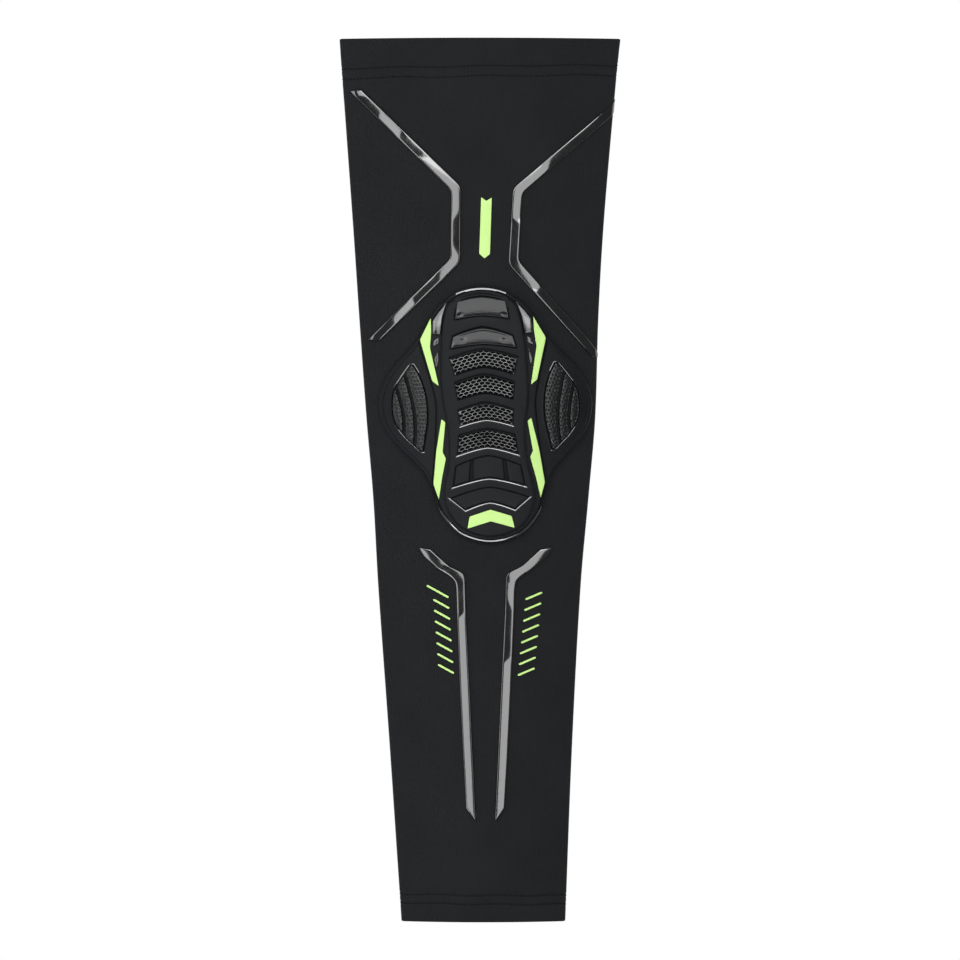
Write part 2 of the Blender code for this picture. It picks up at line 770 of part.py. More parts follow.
def dash_outline(outward, extra):
    """A short bar with round ends, the outward one further out by the extra length."""
    radius = DASH_WIDTH / 2
    points = []
    for side in (1, -1):
        reach = (DASH_LENGTH - DASH_WIDTH) / 2 + (extra if side == outward else 0.0)
        for step in range(DASH_END_STEPS + 1):
            angle = math.pi * (step / DASH_END_STEPS - 0.5)
            points.append(
                (side * (reach + radius * math.cos(angle)), side * radius * math.sin(angle))
            )
    return points


def make_lower_motif(film, print_finish):
    """Two long strips below the pad, and a ladder of dashes beside each."""
    place = (LOWER_MOTIF_ACROSS, LOWER_MOTIF_ALONG)
    right = sized(LOWER_STRIP, (LOWER_STRIP_REACH, LOWER_STRIP_LENGTH / 2))
    top = SEAT_GAP + STRIP
    for side, outline in (("right", right), ("left", mirrored(right))):
        strip = plate(f"lower_strip_{side}", outline, SEAT_GAP, top, STRIP_EDGE, film)
        lay_on_sleeve(strip, *place)
    top = SEAT_GAP + PRINT
    for side, sign, out, up, drift, slant, extra in DASH_LADDERS:
        for number in range(DASHES):
            name = f"dash_{side}_{number + 1}"
            outline = dash_outline(sign, 0.0 if number else extra)
            dash = plate(name, outline, SEAT_GAP, top, PRINT_EDGE, print_finish)
            across = LOWER_MOTIF_ACROSS + sign * (out - drift * number)
            along = LOWER_MOTIF_ALONG + up - DASH_PITCH * number
            lay_on_sleeve(dash, across, along, sign * math.radians(slant))


for old in list(bpy.data.objects):
    bpy.data.objects.remove(old)
for label in (PIECES, CUTTERS):
    bpy.context.scene.collection.children.link(bpy.data.collections.new(label))

fabric = material("stretch knit", (0.15, 0.16, 0.17), 0.85)
rubber = material("moulded rubber", (0.14, 0.15, 0.16), 0.6)
mesh_rubber = material("textured rubber", (0.24, 0.25, 0.27), 0.5)
gloss = material("gloss rubber", (0.30, 0.31, 0.32), 0.15)
film = material("gloss film", (0.10, 0.11, 0.12), 0.12)
lime = material("lime film", (0.82, 0.97, 0.58), 0.45)

panel_finishes = {row[0]: mesh_rubber for row in WINDOWS}
panel_finishes.update(cap_panel=gloss, brow_panel=gloss, block_panel=rubber, toe_panel=rubber)

make_sleeve(fabric)
make_pad_base(rubber)
make_wing_ribs(mesh_rubber)
make_pad_spine(rubber)
make_window_panels(panel_finishes)
make_shoulder_pieces({"slash": lime, "panel": gloss, "claw": gloss})
make_chevron(lime)
make_upper_motif(film, lime)
make_lower_motif(film, lime)
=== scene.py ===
"""Padded elbow sleeve: a knitted tube with a moulded elbow pad, lying on its back.

Metres, +Z up. +Y runs to the upper-arm end and +X to the right as the pad is looked at.
The origin is under the middle of the sleeve, on the surface that it lies on.
"""

import math

import bmesh
import bpy
from mathutils import Matrix, Vector


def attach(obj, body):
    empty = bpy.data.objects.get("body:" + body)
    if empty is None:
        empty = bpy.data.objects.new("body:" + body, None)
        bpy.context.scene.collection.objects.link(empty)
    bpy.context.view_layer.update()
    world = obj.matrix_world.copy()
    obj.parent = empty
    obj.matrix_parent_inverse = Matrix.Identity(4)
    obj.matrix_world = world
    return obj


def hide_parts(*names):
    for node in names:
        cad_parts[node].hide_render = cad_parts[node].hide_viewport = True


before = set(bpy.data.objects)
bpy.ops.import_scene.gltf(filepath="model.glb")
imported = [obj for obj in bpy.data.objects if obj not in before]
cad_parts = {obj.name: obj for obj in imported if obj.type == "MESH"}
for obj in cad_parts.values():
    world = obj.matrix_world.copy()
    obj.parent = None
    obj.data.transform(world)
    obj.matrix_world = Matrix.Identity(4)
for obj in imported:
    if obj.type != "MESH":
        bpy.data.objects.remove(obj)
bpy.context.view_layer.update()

# The sleeve: a tube of dark elastane knit, wider at the upper arm, lying flat on its
# back. Its front stands up in a low arch under the pad, and each end is turned under
# and sewn down with two rows of stitches.
SLEEVE_LENGTH = 0.400
UPPER_WIDTH = 0.1274
LOWER_WIDTH = 0.0743
CROWN_HEIGHT = 0.0175
FOLD_RADIUS = 0.0026
CLOTH = 0.0012
HEM = 0.0021
UPPER_HEM = 0.0175
LOWER_HEM = 0.0123
HEM_STEP = 0.0006
OPENING_ROUND = 0.0007
STITCH_ROWS = (0.1871, 0.1826, -0.1878, -0.1918)  # where along the tube
STITCH_GROOVE = 0.00024
GROOVE_WIDTH = 0.0008

# Sections from the upper opening down: share of the length, share of the way from the
# lower to the upper width, share of the crown height, sideways drift as a share of the
# upper width
SECTIONS = (
    (0.00, 1.000, 0.82, 0.000),
    (0.10, 0.872, 0.85, -0.004),
    (0.22, 0.732, 0.92, -0.006),
    (0.32, 0.640, 0.98, -0.004),
    (0.43, 0.555, 1.00, 0.003),
    (0.52, 0.440, 0.99, 0.003),
    (0.62, 0.330, 0.93, -0.002),
    (0.80, 0.160, 0.83, 0.003),
    (1.00, 0.000, 0.80, 0.012),
)

# Shallow creases in the front: middle x and y, turn in degrees, length, width, depth
CREASES = (
    (-0.052, 0.1785, 6, 0.022, 0.0019, 0.0012),
    (0.049, 0.1780, -6, 0.016, 0.0016, 0.0005),
    (-0.044, 0.1150, -58, 0.030, 0.0040, 0.0006),
    (0.043, 0.1010, 62, 0.026, 0.0040, 0.0006),
    (-0.036, -0.0290, 35, 0.020, 0.0030, 0.0006),
    (0.040, -0.0240, -40, 0.018, 0.0030, 0.0006),
    (0.026, -0.1480, 8, 0.018, 0.0026, 0.0004),
    (-0.028, -0.1090, -12, 0.016, 0.0026, 0.0004),
)


def curved(rows, at, column):
    """A table's column between its rows, on a smooth curve; the first column ascends."""
    last = len(rows) - 1
    index = 0
    while index < last - 1 and at > rows[index + 1][0]:
        index += 1
    here, there = rows[index], rows[index + 1]
    before, after = rows[max(index - 1, 0)], rows[min(index + 2, last)]
    span = there[0] - here[0]
    share = (at - here[0]) / span
    rise_here = (there[column] - before[column]) / (there[0] - before[0]) * span
    rise_there = (after[column] - here[column]) / (after[0] - here[0]) * span
    square, cube = share**2, share**3
    return (
        (2 * cube - 3 * square + 1) * here[column]
        + (cube - 2 * square + share) * rise_here
        + (3 * square - 2 * cube) * there[column]
        + (cube - square) * rise_there
    )


class Section:
    """The tube's outer face at one place along it: a flat back, two folds and an arch."""

    def __init__(self, along):
        down = min(1.0, max(0.0, 0.5 - along / SLEEVE_LENGTH))
        widening = curved(SECTIONS, down, 1)
        self.middle = curved(SECTIONS, down, 3) * UPPER_WIDTH
        half = (LOWER_WIDTH + (UPPER_WIDTH - LOWER_WIDTH) * widening) / 2
        height = CROWN_HEIGHT * curved(SECTIONS, down, 2)
        self.fold_centre = half - FOLD_RADIUS
        rise = height - FOLD_RADIUS
        self.radius = (self.fold_centre**2 + rise**2 - FOLD_RADIUS**2) / (
            2 * (height - 2 * FOLD_RADIUS)
        )
        self.centre_height = height - self.radius
        self.arch_angle = math.asin(self.fold_centre / (self.radius - FOLD_RADIUS))
        self.arch_reach = self.radius * math.sin(self.arch_angle)
        self.fold_length = FOLD_RADIUS * (math.pi - self.arch_angle)
        self.girth = self.arch_reach + self.fold_length + self.fold_centre

    def point(self, across, height, upright=False):
        """(x, z) of a place on the tube. From the middle, across is measured level over
        the arch, then round the fold and back under the tube."""
        side = math.copysign(1, across)
        reach = abs(across)
        past_arch = reach - self.arch_reach
        if past_arch <= 0:
            angle = math.asin(reach / self.radius)
            lean = 0 if upright else angle
            x = reach + height * math.sin(lean)
            z = self.centre_height + self.radius * math.cos(angle) + height * math.cos(lean)
        elif past_arch <= self.fold_length:
            angle = self.arch_angle + past_arch / FOLD_RADIUS
            x = self.fold_centre + (FOLD_RADIUS + height) * math.sin(angle)
            z = FOLD_RADIUS + (FOLD_RADIUS + height) * math.cos(angle)
        else:
            x = self.girth - reach
            z = -height
        return self.middle + side * x, z

    def across(self, turn):
        """From the middle, 0 to 1 goes over the arch, 1 to 2 round the fold and 2 to 3
        back under the tube."""
        reach = abs(turn)
        if reach <= 1:
            place = reach * self.arch_reach
        elif reach <= 2:
            place = self.arch_reach + (reach - 1) * self.fold_length
        else:
            place = self.arch_reach + self.fold_length + (reach - 2) * self.fold_centre
        return math.copysign(place, turn)

    def cloth(self, across):
        """The length of cloth from the middle of the front to a place round the tube."""
        reach = abs(across)
        over = self.radius * math.asin(min(reach, self.arch_reach) / self.radius)
        return math.copysign(over + max(0.0, reach - self.arch_reach), across)


def hem_sway(along, turn):
    """The hems' stitched lines run a little uneven; the openings stay straight."""
    end = SLEEVE_LENGTH / 2
    depth = end - abs(along)
    share = min(1.0, depth / 0.008) * max(0.0, 1 - max(0.0, depth - 0.019) / 0.012)
    round_share = math.pi * turn / 3
    if along > 0:
        sway = 0.0008 * math.sin(round_share) + 0.00030 * math.sin(9 * round_share + 1)
    else:
        sway = 0.00025 * math.sin(8 * round_share) - 0.0003 * math.sin(round_share)
    return share * sway


def wall_dip(along, turn, section):
    """How far the outer face lies under the plain tube: stitch grooves and creases."""
    dip = 0.0
    for line in STITCH_ROWS:
        dip += STITCH_GROOVE * math.exp(-(((along - line) / GROOVE_WIDTH) ** 2))
    if abs(turn) < 1:
        x = section.middle + section.across(turn)
        for middle_x, middle_y, degrees, length, width, depth in CREASES:
            angle = math.radians(degrees)
            east, north = x - middle_x, along - middle_y
            run = east * math.cos(angle) + north * math.sin(angle)
            off = north * math.cos(angle) - east * math.sin(angle)
            near = (2 * run / length) ** 2 + (off / width) ** 2
            dip += depth * math.exp(-near) * min(1.0, 6 * (1 - abs(turn)))
    return dip


def steps(start, end, count):
    """Even steps from a start towards an end that is left out."""
    return [start + (end - start) * index / count for index in range(count)]


def tube_rows():
    """Places along the tube from the lower opening up, close together at the stitches."""
    end = SLEEVE_LENGTH / 2
    rows = []
    for line in STITCH_ROWS:
        rows += [line + GROOVE_WIDTH * k / 2 for k in range(-4, 5)]
    rows += steps(-end, end, 160) + [end]
    rows = sorted(rows)
    spaced = [rows[0]]
    for row in rows[1:-1]:
        if row - spaced[-1] > 0.00038 and end - row > 0.0005:
            spaced.append(row)
    return spaced + [end]


def tube_wall(shape, rows, turns, inward):
    """One face of the tube's wall, from a grid that is bent round."""
    made = bmesh.ops.create_grid(
        shape, x_segments=len(turns) - 1, y_segments=len(rows) - 1, size=0.5
    )["verts"]
    flat = {}
    for vert in made:
        turn = turns[round((vert.co.x + 0.5) * (len(turns) - 1))]
        along = rows[round((vert.co.y + 0.5) * (len(rows) - 1))]
        section = Section(along)
        across = section.across(turn)
        depth = wall_at(along) if inward else wall_dip(along, turn, section)
        x, z = section.point(across, -depth)
        flat[vert] = (section.cloth(across), along)
        vert.co = (x, along + hem_sway(along, turn), z)
    return flat


def wall_at(along):
    """The wall's thickness: the cloth is double at the hems."""
    end = SLEEVE_LENGTH / 2
    for inside in (end - UPPER_HEM - along, along + end - LOWER_HEM):
        if inside < HEM_STEP:
            share = max(0.0, inside / HEM_STEP)
            return HEM + (CLOTH - HEM) * share
    return CLOTH


def hex_colour(code):
    """An sRGB hex colour turned to linear, with full alpha."""
    shares = [int(code[place : place + 2], 16) / 255 for place in (0, 2, 4)]
    linear = [s / 12.92 if s <= 0.04045 else ((s + 0.055) / 1.055) ** 2.4 for s in shares]
    return (*linear, 1.0)


def node(tree, kind, inputs, **settings):
    """Add a node; each input is given its value, or the output that feeds it."""
    made = tree.nodes.new(kind)
    for name, value in settings.items():
        setattr(made, name, value)
    for name, value in inputs.items():
        if isinstance(value, bpy.types.NodeSocket):
            tree.links.new(value, made.inputs[name])
        else:
            made.inputs[name].default_value = value
    return made


def new_material(name, sockets):
    """A material whose shader has these values, its node tree and its shader."""
    made = bpy.data.materials.new(name)
    made.use_nodes = True
    shader = made.node_tree.nodes["Principled BSDF"]
    for socket, value in sockets.items():
        shader.inputs[socket].default_value = value
    return made, made.node_tree, shader


def put_in(name, shape, *finishes):
    """Use a shape up to make an object in the scene."""
    mesh = bpy.data.meshes.new(name)
    shape.to_mesh(mesh)
    shape.free()
    for finish in finishes:
        mesh.materials.append(finish)
    made = bpy.data.objects.new(name, mesh)
    bpy.context.scene.collection.objects.link(made)
    return made


def finished(name, shape, finish, cad_nodes, sharp=35, edge_finish=None):
    """Make the shape an object with its finish, which stands for its CAD nodes."""
    finishes = (finish, edge_finish) if edge_finish else (finish,)
    piece = put_in(name, shape, *finishes)
    piece.data.shade_smooth()
    piece.data.set_sharp_from_angle(angle=math.radians(sharp))
    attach(piece, "root")
    if cad_nodes:
        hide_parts(*cad_nodes)
    return piece


# Stretch knit: nylon and elastane, knitted in fine vertical wales. Each wale is a
# column of V-shaped loops, drawn at about twice its real width so that it shows, and the
# brushed yarn gives a faint sheen at grazing angles.
WALE = 0.00095
COURSE = 0.00080
knit, tree, shader = new_material(
    "stretch knit",
    {
        "Roughness": 0.88,
        "Specular IOR Level": 0.15,
        "Sheen Weight": 0.10,
        "Sheen Roughness": 0.45,
        "Sheen Tint": hex_colour("9AA0A8"),
    },
)
cloth_map = node(tree, "ShaderNodeUVMap", {}, uv_map="cloth")
parts = node(tree, "ShaderNodeSeparateXYZ", {0: cloth_map.outputs[0]})
wale = node(tree, "ShaderNodeMath", {0: parts.outputs[0], 1: WALE}, operation="DIVIDE")
course = node(tree, "ShaderNodeMath", {0: parts.outputs[1], 1: COURSE}, operation="DIVIDE")
leg = node(tree, "ShaderNodeMath", {0: wale.outputs[0], 1: 0.5}, operation="PINGPONG")
vee = node(
    tree,
    "ShaderNodeMath",
    {0: leg.outputs[0], 1: 1.3, 2: course.outputs[0]},
    operation="MULTIPLY_ADD",
)
loop_turn = node(tree, "ShaderNodeMath", {0: vee.outputs[0], 1: 2 * math.pi}, operation="MULTIPLY")
loops = node(tree, "ShaderNodeMath", {0: loop_turn.outputs[0]}, operation="SINE")
leg_turn = node(tree, "ShaderNodeMath", {0: leg.outputs[0], 1: math.pi}, operation="MULTIPLY")
rib = node(tree, "ShaderNodeMath", {0: leg_turn.outputs[0]}, operation="SINE")
yarn = node(
    tree,
    "ShaderNodeMath",
    {0: loops.outputs[0], 1: 0.22, 2: rib.outputs[0]},
    operation="MULTIPLY_ADD",
)
fuzz = node(
    tree,
    "ShaderNodeTexNoise",
    {"Vector": cloth_map.outputs[0], "Scale": 900.0, "Detail": 3.0, "Roughness": 0.6},
)
cloud = node(
    tree,
    "ShaderNodeTexNoise",
    {"Vector": cloth_map.outputs[0], "Scale": 38.0, "Detail": 2.0},
)
tone = node(
    tree,
    "ShaderNodeMath",
    {0: fuzz.outputs[0], 1: 0.55, 2: yarn.outputs[0]},
    operation="MULTIPLY_ADD",
)
# Painted shade: the yarn's colour goes darker where the knit's relief is low, painting shade into
# the valleys between the loops, with random fuzz mixed in.
valley_shade_share = node(
    tree, "ShaderNodeMapRange", {0: tone.outputs[0], 1: 0.0, 2: 1.6, 3: 0.0, 4: 1.0}
)
yarn_colour_with_valley_shade = node(
    tree,
    "ShaderNodeMix",
    {0: valley_shade_share.outputs[0], 6: hex_colour("0F1011"), 7: hex_colour("191A1C")},
    data_type="RGBA",
)
cloud_share = node(
    tree, "ShaderNodeMapRange", {0: cloud.outputs[0], 1: 0.35, 2: 0.65, 3: 0.0, 4: 0.35}
)
knit_colour = node(
    tree,
    "ShaderNodeMix",
    {0: cloud_share.outputs[0], 6: yarn_colour_with_valley_shade.outputs[2], 7: hex_colour("1C1D1F")},
    data_type="RGBA",
)
tree.links.new(knit_colour.outputs[2], shader.inputs["Base Color"])
knit_bump = node(
    tree, "ShaderNodeBump", {"Height": tone.outputs[0], "Strength": 0.5, "Distance": 0.00018}
)
tree.links.new(knit_bump.outputs[0], shader.inputs["Normal"])

half_turns = steps(0, 1, 30) + steps(1, 2, 9) + steps(2, 3, 14)
turns = [-3] + [-turn for turn in reversed(half_turns[1:])] + half_turns + [3]
rows = tube_rows()
shape = bmesh.new()
outer = tube_wall(shape, rows, turns, inward=False)
outer_faces = set(shape.faces)
inner = tube_wall(shape, rows, turns, inward=True)
bmesh.ops.reverse_faces(shape, faces=[face for face in shape.faces if face not in outer_faces])
cloth = shape.loops.layers.uv.new("cloth")
for face in shape.faces:
    for corner in face.loops:
        corner[cloth].uv = outer.get(corner.vert) or inner[corner.vert]
bmesh.ops.remove_doubles(shape, verts=list(outer), dist=1e-6)
bmesh.ops.remove_doubles(shape, verts=[vert for vert in inner if vert.is_valid], dist=1e-6)
for end in (1, -1):
    opening = [
        edge
        for edge in shape.edges
        if edge.is_boundary and all(vert.co.y * end > 0 for vert in edge.verts)
    ]
    bridged = bmesh.ops.bridge_loops(shape, edges=opening)
    new_faces = bridged["faces"]
    for face in new_faces:
        for corner in face.loops:
            mate = next(loop for loop in corner.vert.link_loops if loop.face not in new_faces)
            corner[cloth].uv = mate[cloth].uv
bmesh.ops.recalc_face_normals(shape, faces=shape.faces)
rims = [edge for edge in shape.edges if edge.calc_face_angle(0) > math.radians(60)]
bmesh.ops.bevel(
    shape,
    geom=rims,
    offset=OPENING_ROUND,
    segments=3,
    profile=0.5,
    affect="EDGES",
    material=-1,
)
sleeve = finished("knit_sleeve", shape, knit, ["sleeve"], sharp=60)

# The hems' stitches: polyester thread in two rows at each end, on the front and the
# back, each stitch pressed into the cloth.
STITCH_PITCH = 0.0015
STITCH_LENGTH = 0.00088
THREAD = 0.00078
STITCH_SINK = 0.00022


def mottled(tree, shader, share, low, high, rough=None):
    """Vary the colour, and the roughness, between two values by the share of an output."""
    colour = node(
        tree,
        "ShaderNodeMix",
        {0: share, 6: hex_colour(low), 7: hex_colour(high)},
        data_type="RGBA",
    )
    tree.links.new(colour.outputs[2], shader.inputs["Base Color"])
    if rough:
        spread = node(
            tree, "ShaderNodeMapRange", {0: share, 1: 0.3, 2: 0.7, 3: rough[0], 4: rough[1]}
        )
        tree.links.new(spread.outputs[0], shader.inputs["Roughness"])


# Sewing thread: spun black polyester, drawn down into the cloth. Its near-black colour is partly
# the thread's own and partly painted shade of the grooves it lies in.
thread, tree, shader = new_material(
    "sewing thread", {"Roughness": 0.7, "Specular IOR Level": 0.15}
)
place = node(tree, "ShaderNodeTexCoord", {}).outputs["Object"]
twist = node(tree, "ShaderNodeTexWave", {"Vector": place, "Scale": 900.0, "Distortion": 2.0})
mottled(tree, shader, twist.outputs[1], "020203", "060607")


def ring_place(along, turn, height):
    """A place on the tube's outer face, swaying with the hem."""
    section = Section(along)
    x, z = section.point(section.across(turn), height)
    return Vector((x, along + hem_sway(along, turn), z))


def turn_at(section, length):
    """The turn at which the cloth's length from the middle has grown to this."""
    low, high = 0.0, 3.0
    for _ in range(24):
        middle = (low + high) / 2
        if section.cloth(section.across(middle)) < length:
            low = middle
        else:
            high = middle
    return low


shape = bmesh.new()
for line in STITCH_ROWS:
    section = Section(line)
    around = section.cloth(section.across(3))
    count = round(around / STITCH_PITCH)
    for number in range(count):
        turn = turn_at(section, around * (number + 0.5) / count)
        for side in (1, -1):
            sink = THREAD / 2 + STITCH_SINK if turn > 1.9 else STITCH_SINK
            middle = ring_place(line, side * turn, -sink)
            run = ring_place(line, side * turn + 0.01, -sink) - middle
            lift = (ring_place(line, side * turn, 0.001) - middle).normalized()
            run = (run - lift * run.dot(lift)).normalized()
            turned = Matrix((lift.cross(run), lift, run)).transposed().to_4x4()
            size = Matrix.Diagonal((THREAD / 2, THREAD / 2, STITCH_LENGTH / 2, 1))
            bmesh.ops.create_uvsphere(
                shape,
                u_segments=6,
                v_segments=4,
                radius=1.0,
                matrix=Matrix.Translation(middle) @ turned @ size,
            )
finished("hem_stitches", shape, thread, [])

# The pad's flange: charcoal rubber moulded round a foam core and bonded to the knit. It
# has a rounded rim, a seat that the spine stands in, and a leaf-shaped recess with a
# thin lip in each wing.
PAD_LENGTH = 0.1155
PAD_WIDTH = 0.0964
PAD_ACROSS = 0.0028
PAD_ALONG = 0.0294
PAD_TURN = math.radians(1.0)
PAD_LEAN = 0.026
PAD_SCALE = Vector((PAD_WIDTH / 2, PAD_LENGTH / 2))
SEAT_GAP = 0.0003
SIDE_GAP = 0.0003
FLANGE_TOP = 0.0028
RIM_TOP = 0.0034
SPINE_FLOOR = 0.0017
SHOULDER_TOP = 0.0050
RAIL_TOP = 0.0076
CROWN_FALL = 0.25
PAD_SLICE = 0.0030
LIP_REACH = 0.0009
FOLD_THINNING = 0.004  # over this length film is drawn thin as it comes to a fold,
FOLD_THINNED = 0.75  # by this share

# Right half of the outline from the top down, as shares of half width and half length
PAD_OUTLINE = (
    (0.000, 1.000), (0.120, 0.990), (0.240, 0.958), (0.330, 0.905), (0.425, 0.840),
    (0.549, 0.682), (0.672, 0.542), (0.819, 0.416), (0.927, 0.291), (0.989, 0.158),
    (1.000, 0.070), (0.960, -0.078), (0.851, -0.220), (0.728, -0.329), (0.616, -0.431),
    (0.548, -0.543), (0.504, -0.667), (0.450, -0.784), (0.311, -0.918), (0.155, -0.980),
    (0.000, -1.000),
)
SHOULDER_OUTLINE = (
    (0.000, 0.975), (0.225, 0.932), (0.405, 0.812), (0.525, 0.670), (0.596, 0.590),
    (0.560, 0.440), (0.506, 0.270), (0.470, 0.130), (0.466, 0.015), (0.490, -0.250),
    (0.528, -0.535), (0.482, -0.665), (0.428, -0.775), (0.296, -0.900), (0.148, -0.958),
    (0.000, -0.976),
)

# A wing's leaf from the bottom up: height, then how far out its inner edge, its two
# grooves and its outer edge lie
WING_ROWS = (
    (-0.293, 0.606, 0.700, 0.810, 0.606),
    (-0.225, 0.589, 0.685, 0.795, 0.693),
    (-0.156, 0.573, 0.674, 0.782, 0.774),
    (-0.040, 0.548, 0.670, 0.774, 0.862),
    (0.078, 0.546, 0.681, 0.790, 0.880),
    (0.199, 0.564, 0.710, 0.822, 0.859),
    (0.312, 0.608, 0.742, 0.860, 0.772),
    (0.416, 0.676, 0.780, 0.900, 0.676),
)
# The rim's profile, and those below: steps inwards and up or down
RIM_BEAD = (
    (0.00008, 0.00042), (0.00016, 0.00022), (0.00030, 0.00010), (0.00040, 0.00011),
    (0.00024, 0.00003), (0.00020, -0.00002), (0.00016, -0.00012), (0.00014, -0.00022),
    (0.00012, -0.00010),
)
BEAD_RISE = 0.0009
TOP_SHINE = 0.8  # the rim is polished above this share of the half length
TOP_SHINE_REACH = 0.0115
FOOT_SHINE = -0.72  # and below this one
LEAF_LIP = (
    (0.00026, 0.00004), (0.00016, 0.00010), (0.00012, 0.00004), (0.00012, -0.00006),
    (0.00012, -0.00022), (0.00008, -0.00112),
)


def mirrored(points):
    """A right-hand outline made left-hand."""
    return [(-x, y) for x, y in reversed(points)]


def whole(half):
    """A full outline from its right half, whose ends lie on the axis."""
    return list(half) + mirrored(half[1:-1])


def sized(points, scale):
    """Points given as shares, at their real size."""
    return [(x * scale[0], y * scale[1]) for x, y in points]


def rounded(points, parts):
    """A closed outline through the points, curved between them."""
    result = []
    for index in range(len(points)):
        a, b, c, d = (Vector(points[(index + k) % len(points)]) for k in (-1, 0, 1, 2))
        for part in range(parts):
            t = part / parts
            bend = (2 * a - 5 * b + 4 * c - d) * t**2 + (3 * b - a - 3 * c + d) * t**3
            result.append(tuple(b + ((c - a) * t + bend) / 2))
    return result


def pad_outline(half):
    """A closed curved outline of the pad at its real size, from its right half."""
    return rounded(sized(whole(half), PAD_SCALE), 4)


def grown(points, distance):
    """An outline with its edges moved outwards, or inwards by a negative distance."""
    corners = [Vector(point) for point in points]
    area = sum(a.cross(b) for a, b in zip(corners, corners[1:] + corners[:1]))
    turn = math.copysign(1, area)
    result = []
    for before, here, after in zip(corners[-1:] + corners, corners, corners[1:] + corners[:1]):
        into, out = (here - before).normalized(), (after - here).normalized()
        normal_in = Vector((into.y, -into.x)) * turn
        normal_out = Vector((out.y, -out.x)) * turn
        bisector = (normal_in + normal_out).normalized()
        result.append(tuple(here + bisector * distance / bisector.dot(normal_in)))
    return result


def block(outline, bottom, top):
    """A flat outline raised between two heights. Returns the shape and its lid."""
    shape = bmesh.new()
    base = shape.faces.new([shape.verts.new((x, y, bottom)) for x, y in outline])
    raised = bmesh.ops.extrude_face_region(shape, geom=[base])["geom"]
    lid = next(part for part in raised if isinstance(part, bmesh.types.BMFace))
    bmesh.ops.translate(shape, verts=lid.verts, vec=(0, 0, top - bottom))
    return shape, lid


def stepped(shape, lid, profile):
    """Move a lid inwards and up or down by the steps of a profile."""
    for inward, rise in profile:
        bmesh.ops.inset_region(
            shape, faces=[lid], thickness=inward, depth=0, use_even_offset=True
        )
        bmesh.ops.translate(shape, verts=lid.verts, vec=(0, 0, rise))


def round_edge(radius, parts=4):
    """The profile of an upper edge rounded to a radius."""
    angles = [math.pi / 2 * part / parts for part in range(parts + 1)]
    return [
        (radius * (math.cos(a) - math.cos(b)), radius * (math.sin(b) - math.sin(a)))
        for a, b in zip(angles, angles[1:])
    ]


def opened(shape, lid, outlines):
    """Part a lid into the face of each outline and the surface round them."""
    level = lid.verts[0].co.z
    edges = list(lid.edges)
    bmesh.ops.delete(shape, geom=[lid], context="FACES_ONLY")
    made = []
    for outline in outlines:
        face = shape.faces.new([shape.verts.new((x, y, level)) for x, y in outline])
        made.append(face)
        edges += list(face.edges)
    bmesh.ops.triangle_fill(shape, edges=edges, use_beauty=True)
    return made


def polished(shape, made, facing):
    """Give the glossy finish to those of the newly made faces that face the right way."""
    bmesh.ops.recalc_face_normals(shape, faces=shape.faces)
    for face in made:
        if face.is_valid and facing(face.normal, face.calc_center_median()):
            face.material_index = 1


def wing_edges(low_column, high_column, low_gap, high_gap, rows, least):
    """The two edges of a strip of a wing's leaf, from the bottom up."""
    bottom, top = WING_ROWS[0][0], WING_ROWS[-1][0]
    low_side, high_side = [], []
    for row in range(rows + 1):
        up = bottom + (top - bottom) * row / rows
        inner = curved(WING_ROWS, up, low_column) * PAD_SCALE.x + low_gap
        outer = curved(WING_ROWS, up, high_column) * PAD_SCALE.x - high_gap
        edge = curved(WING_ROWS, up, 4) * PAD_SCALE.x - min(high_gap, SIDE_GAP)
        outer = min(outer, edge)
        if outer - inner > least:
            low_side.append((inner, up * PAD_SCALE.y))
            high_side.append((outer, up * PAD_SCALE.y))
    return low_side, high_side


def sliced(shape, pitch):
    """Cut the large faces of a flat shape where it will bend."""
    for axis in (0, 1):
        low = min(vert.co[axis] for vert in shape.verts)
        high = max(vert.co[axis] for vert in shape.verts)
        normal = Vector((1 - axis, axis, 0))
        for step in range(math.ceil(low / pitch), math.floor(high / pitch) + 1):
            place = step * pitch
            geom = set()
            for face in shape.faces:
                reach = [vert.co[axis] for vert in face.verts]
                if min(reach) < place < max(reach) and max(reach) - min(reach) > pitch * 0.6:
                    geom.update((face, *face.edges, *face.verts))
            if geom:
                bmesh.ops.bisect_plane(
                    shape, geom=list(geom), dist=1e-6, plane_co=normal * place, plane_no=normal
                )
    bmesh.ops.triangulate(shape, faces=[face for face in shape.faces if len(face.verts) > 4])


def laid(shape, across, along, turn=0.0, upright=False):
    """Put a flat shape in its place and bend it onto the tube."""
    shape.transform(Matrix.Translation((across, along, 0)) @ Matrix.Rotation(turn, 4, "Z"))
    for vert in shape.verts:
        section = Section(vert.co.y)
        across, height = vert.co.x - section.middle, vert.co.z
        if not upright:
            past = (abs(across) - section.arch_reach + FOLD_THINNING) / FOLD_THINNING
            height *= 1 - FOLD_THINNED * min(1.0, max(0.0, past))
        x, z = section.point(across, height, upright)
        vert.co = (x, vert.co.y, z)
    bmesh.ops.recalc_face_normals(shape, faces=shape.faces)
    return shape


def laid_on_pad(shape):
    """Let a piece of the pad fall away to the pad's ends, lean it over with the pad's
    axis, and lay it on the sleeve."""
    for vert in shape.verts:
        above = vert.co.z - FLANGE_TOP
        if above > 0:
            vert.co.z = FLANGE_TOP + above * (1 - CROWN_FALL * (vert.co.y / PAD_SCALE.y) ** 2)
        vert.co.x -= PAD_LEAN * vert.co.y
    return laid(shape, PAD_ACROSS, PAD_ALONG, PAD_TURN, upright=True)


